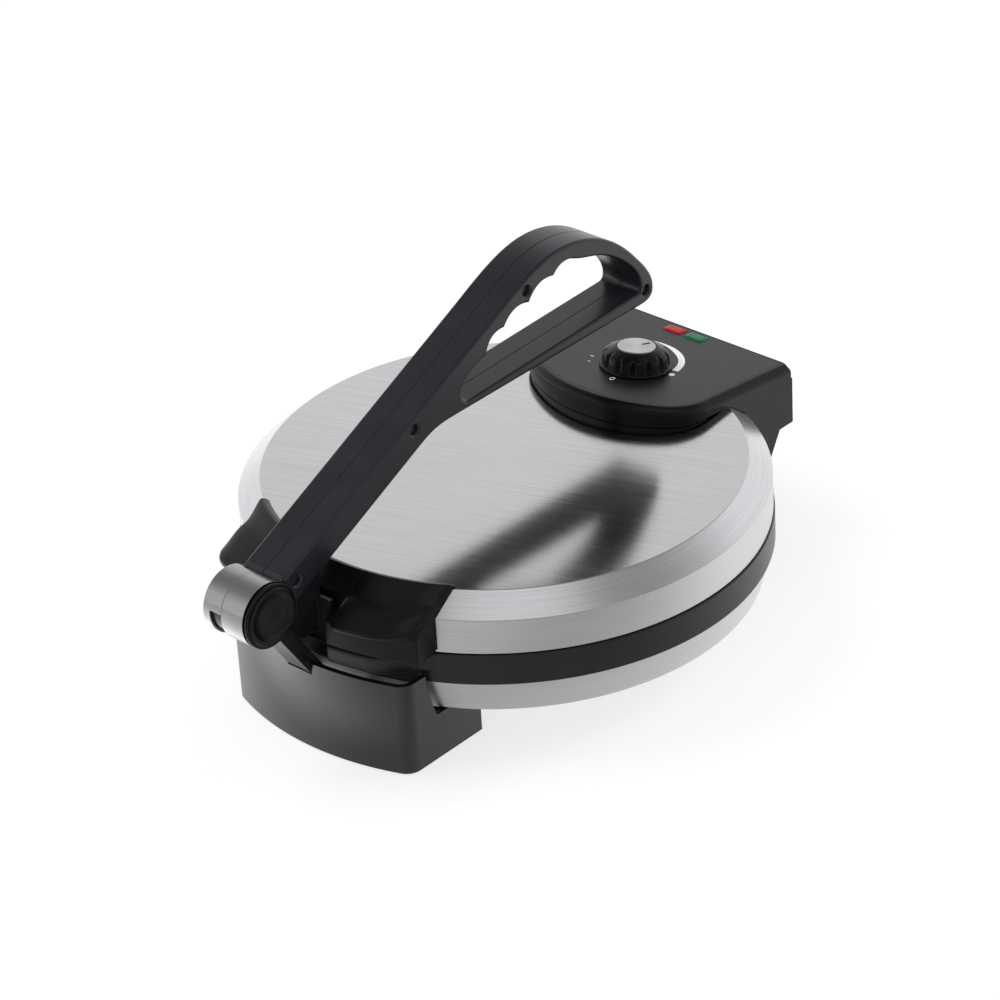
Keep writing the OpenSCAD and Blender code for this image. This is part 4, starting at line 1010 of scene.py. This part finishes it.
def grip_hole():
    """The grip's opening about the pivot, clockwise, with its three finger scallops."""
    cusps = [(220.9, 96.2), (201.3, 89), (181.5, 83), (167, 73.1)]
    return path(
        curve((152.3, 53.2), ((148, 53.2), (145, 58), (147, 62.5), 10),
              ((150, 67), (158, 71.5), cusps[3], 10)),
        *(scallop(cusps[k], cusps[k - 1], 3.8)[1:] for k in (3, 2, 1)),
        curve(cusps[0], ((226, 101.8), (233, 101.8), (238, 99), 10),
              ((247, 95), (256, 95), (266, 88.6), 10),
              ((281, 79), (289.5, 69), (289, 61), 14),
              ((288.8, 58.5), (287.5, 57.75), (285.6, 57.7), 6))[1:],
        [(240, 56.2), (195, 54.65)])


class ROTI_OT_lever(Operator):
    """Both halves of the press lever as plates with rounded rims"""

    bl_idname = "roti.lever"
    bl_label = "Lever"

    def execute(self, context):
        f = finishes()
        edge = context.scene.roti_sizes.lever_edge
        outline = resample(lever_outline() + (PIVOT_Y, PIVOT_Z), 6)
        hole = resample(grip_hole() + (PIVOT_Y, PIVOT_Z), 6)
        screws = [(20.6, 9.9), (111, 54.6), (199.2, 96.6), (292.9, 57.3)]
        recesses = [arc((PIVOT_Y + y, PIVOT_Z + z), 2.6, 360, 15, 23) for y, z in screws]
        half = box_mm("lever_left_half")[0][0]
        left = slab([outline, hole], rounded_rings(half, -0.06, edge, 0.35), sideways)
        right = slab([outline, hole] + recesses, rounded_rings(0.06, -half, 0.35, edge), sideways)
        piece("lever_left", left, "lever", "lever_grey", "lever_left_half", (f.lever,), 34)
        piece("lever_right", right, "lever", "lever_grey", "lever_right_half", (f.lever,), 34)
        return {"FINISHED"}


class ROTI_OT_inner(Operator):
    """Materials of the nodes that stay as they are"""

    bl_idname = "roti.inner"
    bl_label = "Inner Pieces"

    def execute(self, context):
        f = finishes()
        plan = {
            f.coating: ("lower_plate", "upper_plate"),
            f.element: ("lower_element", "upper_element"),
            f.sheet: ("lower_reflector", "upper_reflector", "bottom_cover"),
            f.plated: ("lower_spacers", "upper_spacers", "lower_plate_screws", "upper_plate_screws",
                       "cover_screws", "foot_screws", "handle_screws", "bracket_screws",
                       "housing_screws", "hinge_pins", "pivot_pin", "thermostat_shaft"),
            # the lever's screws are near-black as painted shade in their recesses
            f.mark: ("lever_screws",),
            f.rubber: ("foot_pads",),
            f.band: ("lid_rim", "cord_gland"),
            f.bulb: ("lamp_bulbs",),
            f.ceramic: ("thermostat",),
        }
        for material, nodes in plan.items():
            for node in nodes:
                dress(node, material)
        return {"FINISHED"}


# --- stage
def area_lamp(name, place, aim, size, power):
    """A soft lamp that faces its aim; mirrors see the tent and not the lamps."""
    light = bpy.data.lights.new(name, "AREA")
    light.shape = "RECTANGLE"
    light.size, light.size_y = size
    light.energy = power
    obj = placed(name, light)
    obj.location = place
    obj.rotation_euler = (Vector(aim) - Vector(place)).to_track_quat("-Z", "Y").to_euler()
    obj.visible_glossy = False


def camera(scene, view):
    """The camera stands at distance along the line of sight from the drum's middle, and
    is moved sideways so that the middle lands on its pixel of the photograph."""
    a, e, roll = (math.radians(v) for v in (view.azimuth, view.elevation, view.roll))
    frame_px, sensor = 1000, 36
    seen_x, seen_y, focal_px = 504.9, 476.0, view.lens / sensor * frame_px
    turn = Matrix.Rotation(a, 3, "Z")
    back = turn @ Vector((0, -math.cos(e), math.sin(e)))
    level, rise = turn @ Vector((1, 0, 0)), turn @ Vector((0, math.sin(e), math.cos(e)))
    c, s = math.cos(roll), math.sin(roll)
    right, up = c * level + s * rise, -s * level + c * rise
    shift = (up * (seen_y - frame_px / 2) - right * (seen_x - frame_px / 2)) / focal_px
    place = Vector((0, DRUM_Y * MM, 0.086)) + view.distance * (back + shift)
    data = bpy.data.cameras.new("camera")
    data.lens = view.lens
    data.sensor_width = sensor
    obj = placed("camera", data)
    pose = Matrix((right, up, back)).transposed().to_4x4()
    pose.translation = place
    obj.matrix_world = pose
    scene.camera = obj


def floor():
    """A wide disc: white to the eye but for the object's shadow, which the matt part of its
    shader catches; mirrors see it dim in front, as under a flag; plain paper to other rays."""
    rim = arc((0, 0), 6, 0, 356.25, 95)
    mesh = bpy.data.meshes.new("floor")
    mesh.from_pydata(np.pad(rim, ((0, 0), (0, 1))), [], [tuple(range(96))])
    obj = placed("floor", mesh)
    material = bpy.data.materials.new("floor_paper")
    material.use_nodes = True
    w = Wiring(material.node_tree)
    w.tree.nodes.remove(w.tree.nodes["Principled BSDF"])
    path = w.add("ShaderNodeLightPath").outputs
    eye = path["Is Camera Ray"]
    seen = w.math("MAXIMUM", eye,
                  w.math("MAXIMUM", path["Is Glossy Ray"], path["Is Transmission Ray"]))
    shade = w.mix(seen, (0.82, 0.82, 0.82, 1), (0.34, 0.34, 0.34, 1))
    paper = w.add("ShaderNodeBsdfDiffuse", None, Color=shade)
    place = w.add("ShaderNodeTexCoord").outputs["Object"]
    near = w.along(place, (0.65, -0.75, 0))
    glow_by_foot = w.times(w.ease(w.along(place, (0, -1, 0)), 0.15, 0.19, 0.0, 1.0),
                           w.ease(near, 0.03, 0.19, 2.2, 0.2))
    mirrored = w.math("ADD", w.ease(near, 0.0, 0.24, 0.85, 0.10), glow_by_foot)
    viewed = w.ease(w.vector("LENGTH", "Value", _0=place), 0.5, 2.2, 0.72, 0.95)
    lit = w.math("ADD", w.times(eye, viewed), w.times(w.math("SUBTRACT", seen, eye), mirrored))
    glow = w.add("ShaderNodeEmission", None, Strength=lit)
    both = w.add("ShaderNodeAddShader", None, _0=paper.outputs[0], _1=glow.outputs[0])
    w.link(both.outputs[0], w.tree.nodes["Material Output"].inputs[0])
    mesh.materials.append(material)


def studio(scene):
    """White to the eye. Mirrors see a studio tent that is white at the horizon, darker above
    and dim in front, with a soft box high in front; other rays get an even light."""
    world = bpy.data.worlds.new("studio")
    world.use_nodes = True
    scene.world = world
    w = Wiring(world.node_tree)
    back = world.node_tree.nodes["Background"]
    path = w.add("ShaderNodeLightPath").outputs
    way = w.add("ShaderNodeTexCoord").outputs["Generated"]
    ceiling = w.ease(w.along(way, (0, 0, 1)), 0.44, 0.80, 1.0, 0.30)
    flag = w.ease(w.along(way, (0.69, -0.72, 0)), 0.2, 0.9, 1.0, 0.3)
    softbox = w.ease(w.along(way, (0.35, -0.37, 0.86)), 0.86, 0.97, 0.0, 0.85)
    tent = w.math("MAXIMUM", w.times(ceiling, flag), softbox)
    mirror = w.math("MAXIMUM", path["Is Glossy Ray"], path["Is Transmission Ray"])
    even = w.times(w.math("SUBTRACT", 1.0, mirror), 0.55)
    shine = w.math("ADD", w.times(mirror, tent), even)
    w.link(w.math("MAXIMUM", path["Is Camera Ray"], shine), back.inputs["Strength"])
    back.inputs["Color"].default_value = (1, 1, 1, 1)


class ROTI_OT_stage(Operator):
    """Camera at the photograph's angle, floor, world and lamps"""

    bl_idname = "roti.stage"
    bl_label = "Stage"

    def execute(self, context):
        scene = context.scene
        view = scene.roti_stage
        scene.view_settings.view_transform = "Standard"
        camera(scene, view)
        floor()
        studio(scene)
        area_lamp("key", (-0.9, -0.5, 1.6), (0, 0, 0.08), (1.1, 1.1), 14)
        area_lamp("rim", (0.9, 1.2, 1.1), (0, 0, 0.1), (0.9, 0.6), 9)
        area_lamp("front", (0.5, -1.6, 0.7), (0, 0, 0.08), (0.8, 0.5), 5)
        return {"FINISHED"}


class ROTI_PT_panel(Panel):
    """Lists the steps"""

    bl_label = "Roti Maker"
    bl_idname = "ROTI_PT_panel"
    bl_space_type = "VIEW_3D"
    bl_region_type = "UI"
    bl_category = "Roti Maker"

    def draw(self, context):
        for step in STEPS:
            self.layout.operator(step.bl_idname)


STEPS = (ROTI_OT_stage, ROTI_OT_drum, ROTI_OT_lid_handle, ROTI_OT_band, ROTI_OT_mouldings,
         ROTI_OT_housing, ROTI_OT_knob, ROTI_OT_lever, ROTI_OT_inner)
GROUPS = (("roti_finish", RotiFinish), ("roti_sizes", RotiSizes), ("roti_stage", RotiStage))


def register():
    for _, group in GROUPS:
        bpy.utils.register_class(group)
    for name, group in GROUPS:
        setattr(bpy.types.Scene, name, PointerProperty(type=group))
    for cls in STEPS + (ROTI_PT_panel,):
        bpy.utils.register_class(cls)


def unregister():
    for cls in (ROTI_PT_panel,) + STEPS[::-1]:
        bpy.utils.unregister_class(cls)
    for name, group in GROUPS[::-1]:
        delattr(bpy.types.Scene, name)
        bpy.utils.unregister_class(group)


def main():
    register()
    for step in STEPS:
        area, call = step.bl_idname.split(".")
        getattr(getattr(bpy.ops, area), call)()


if __name__ == "__main__":
    main()
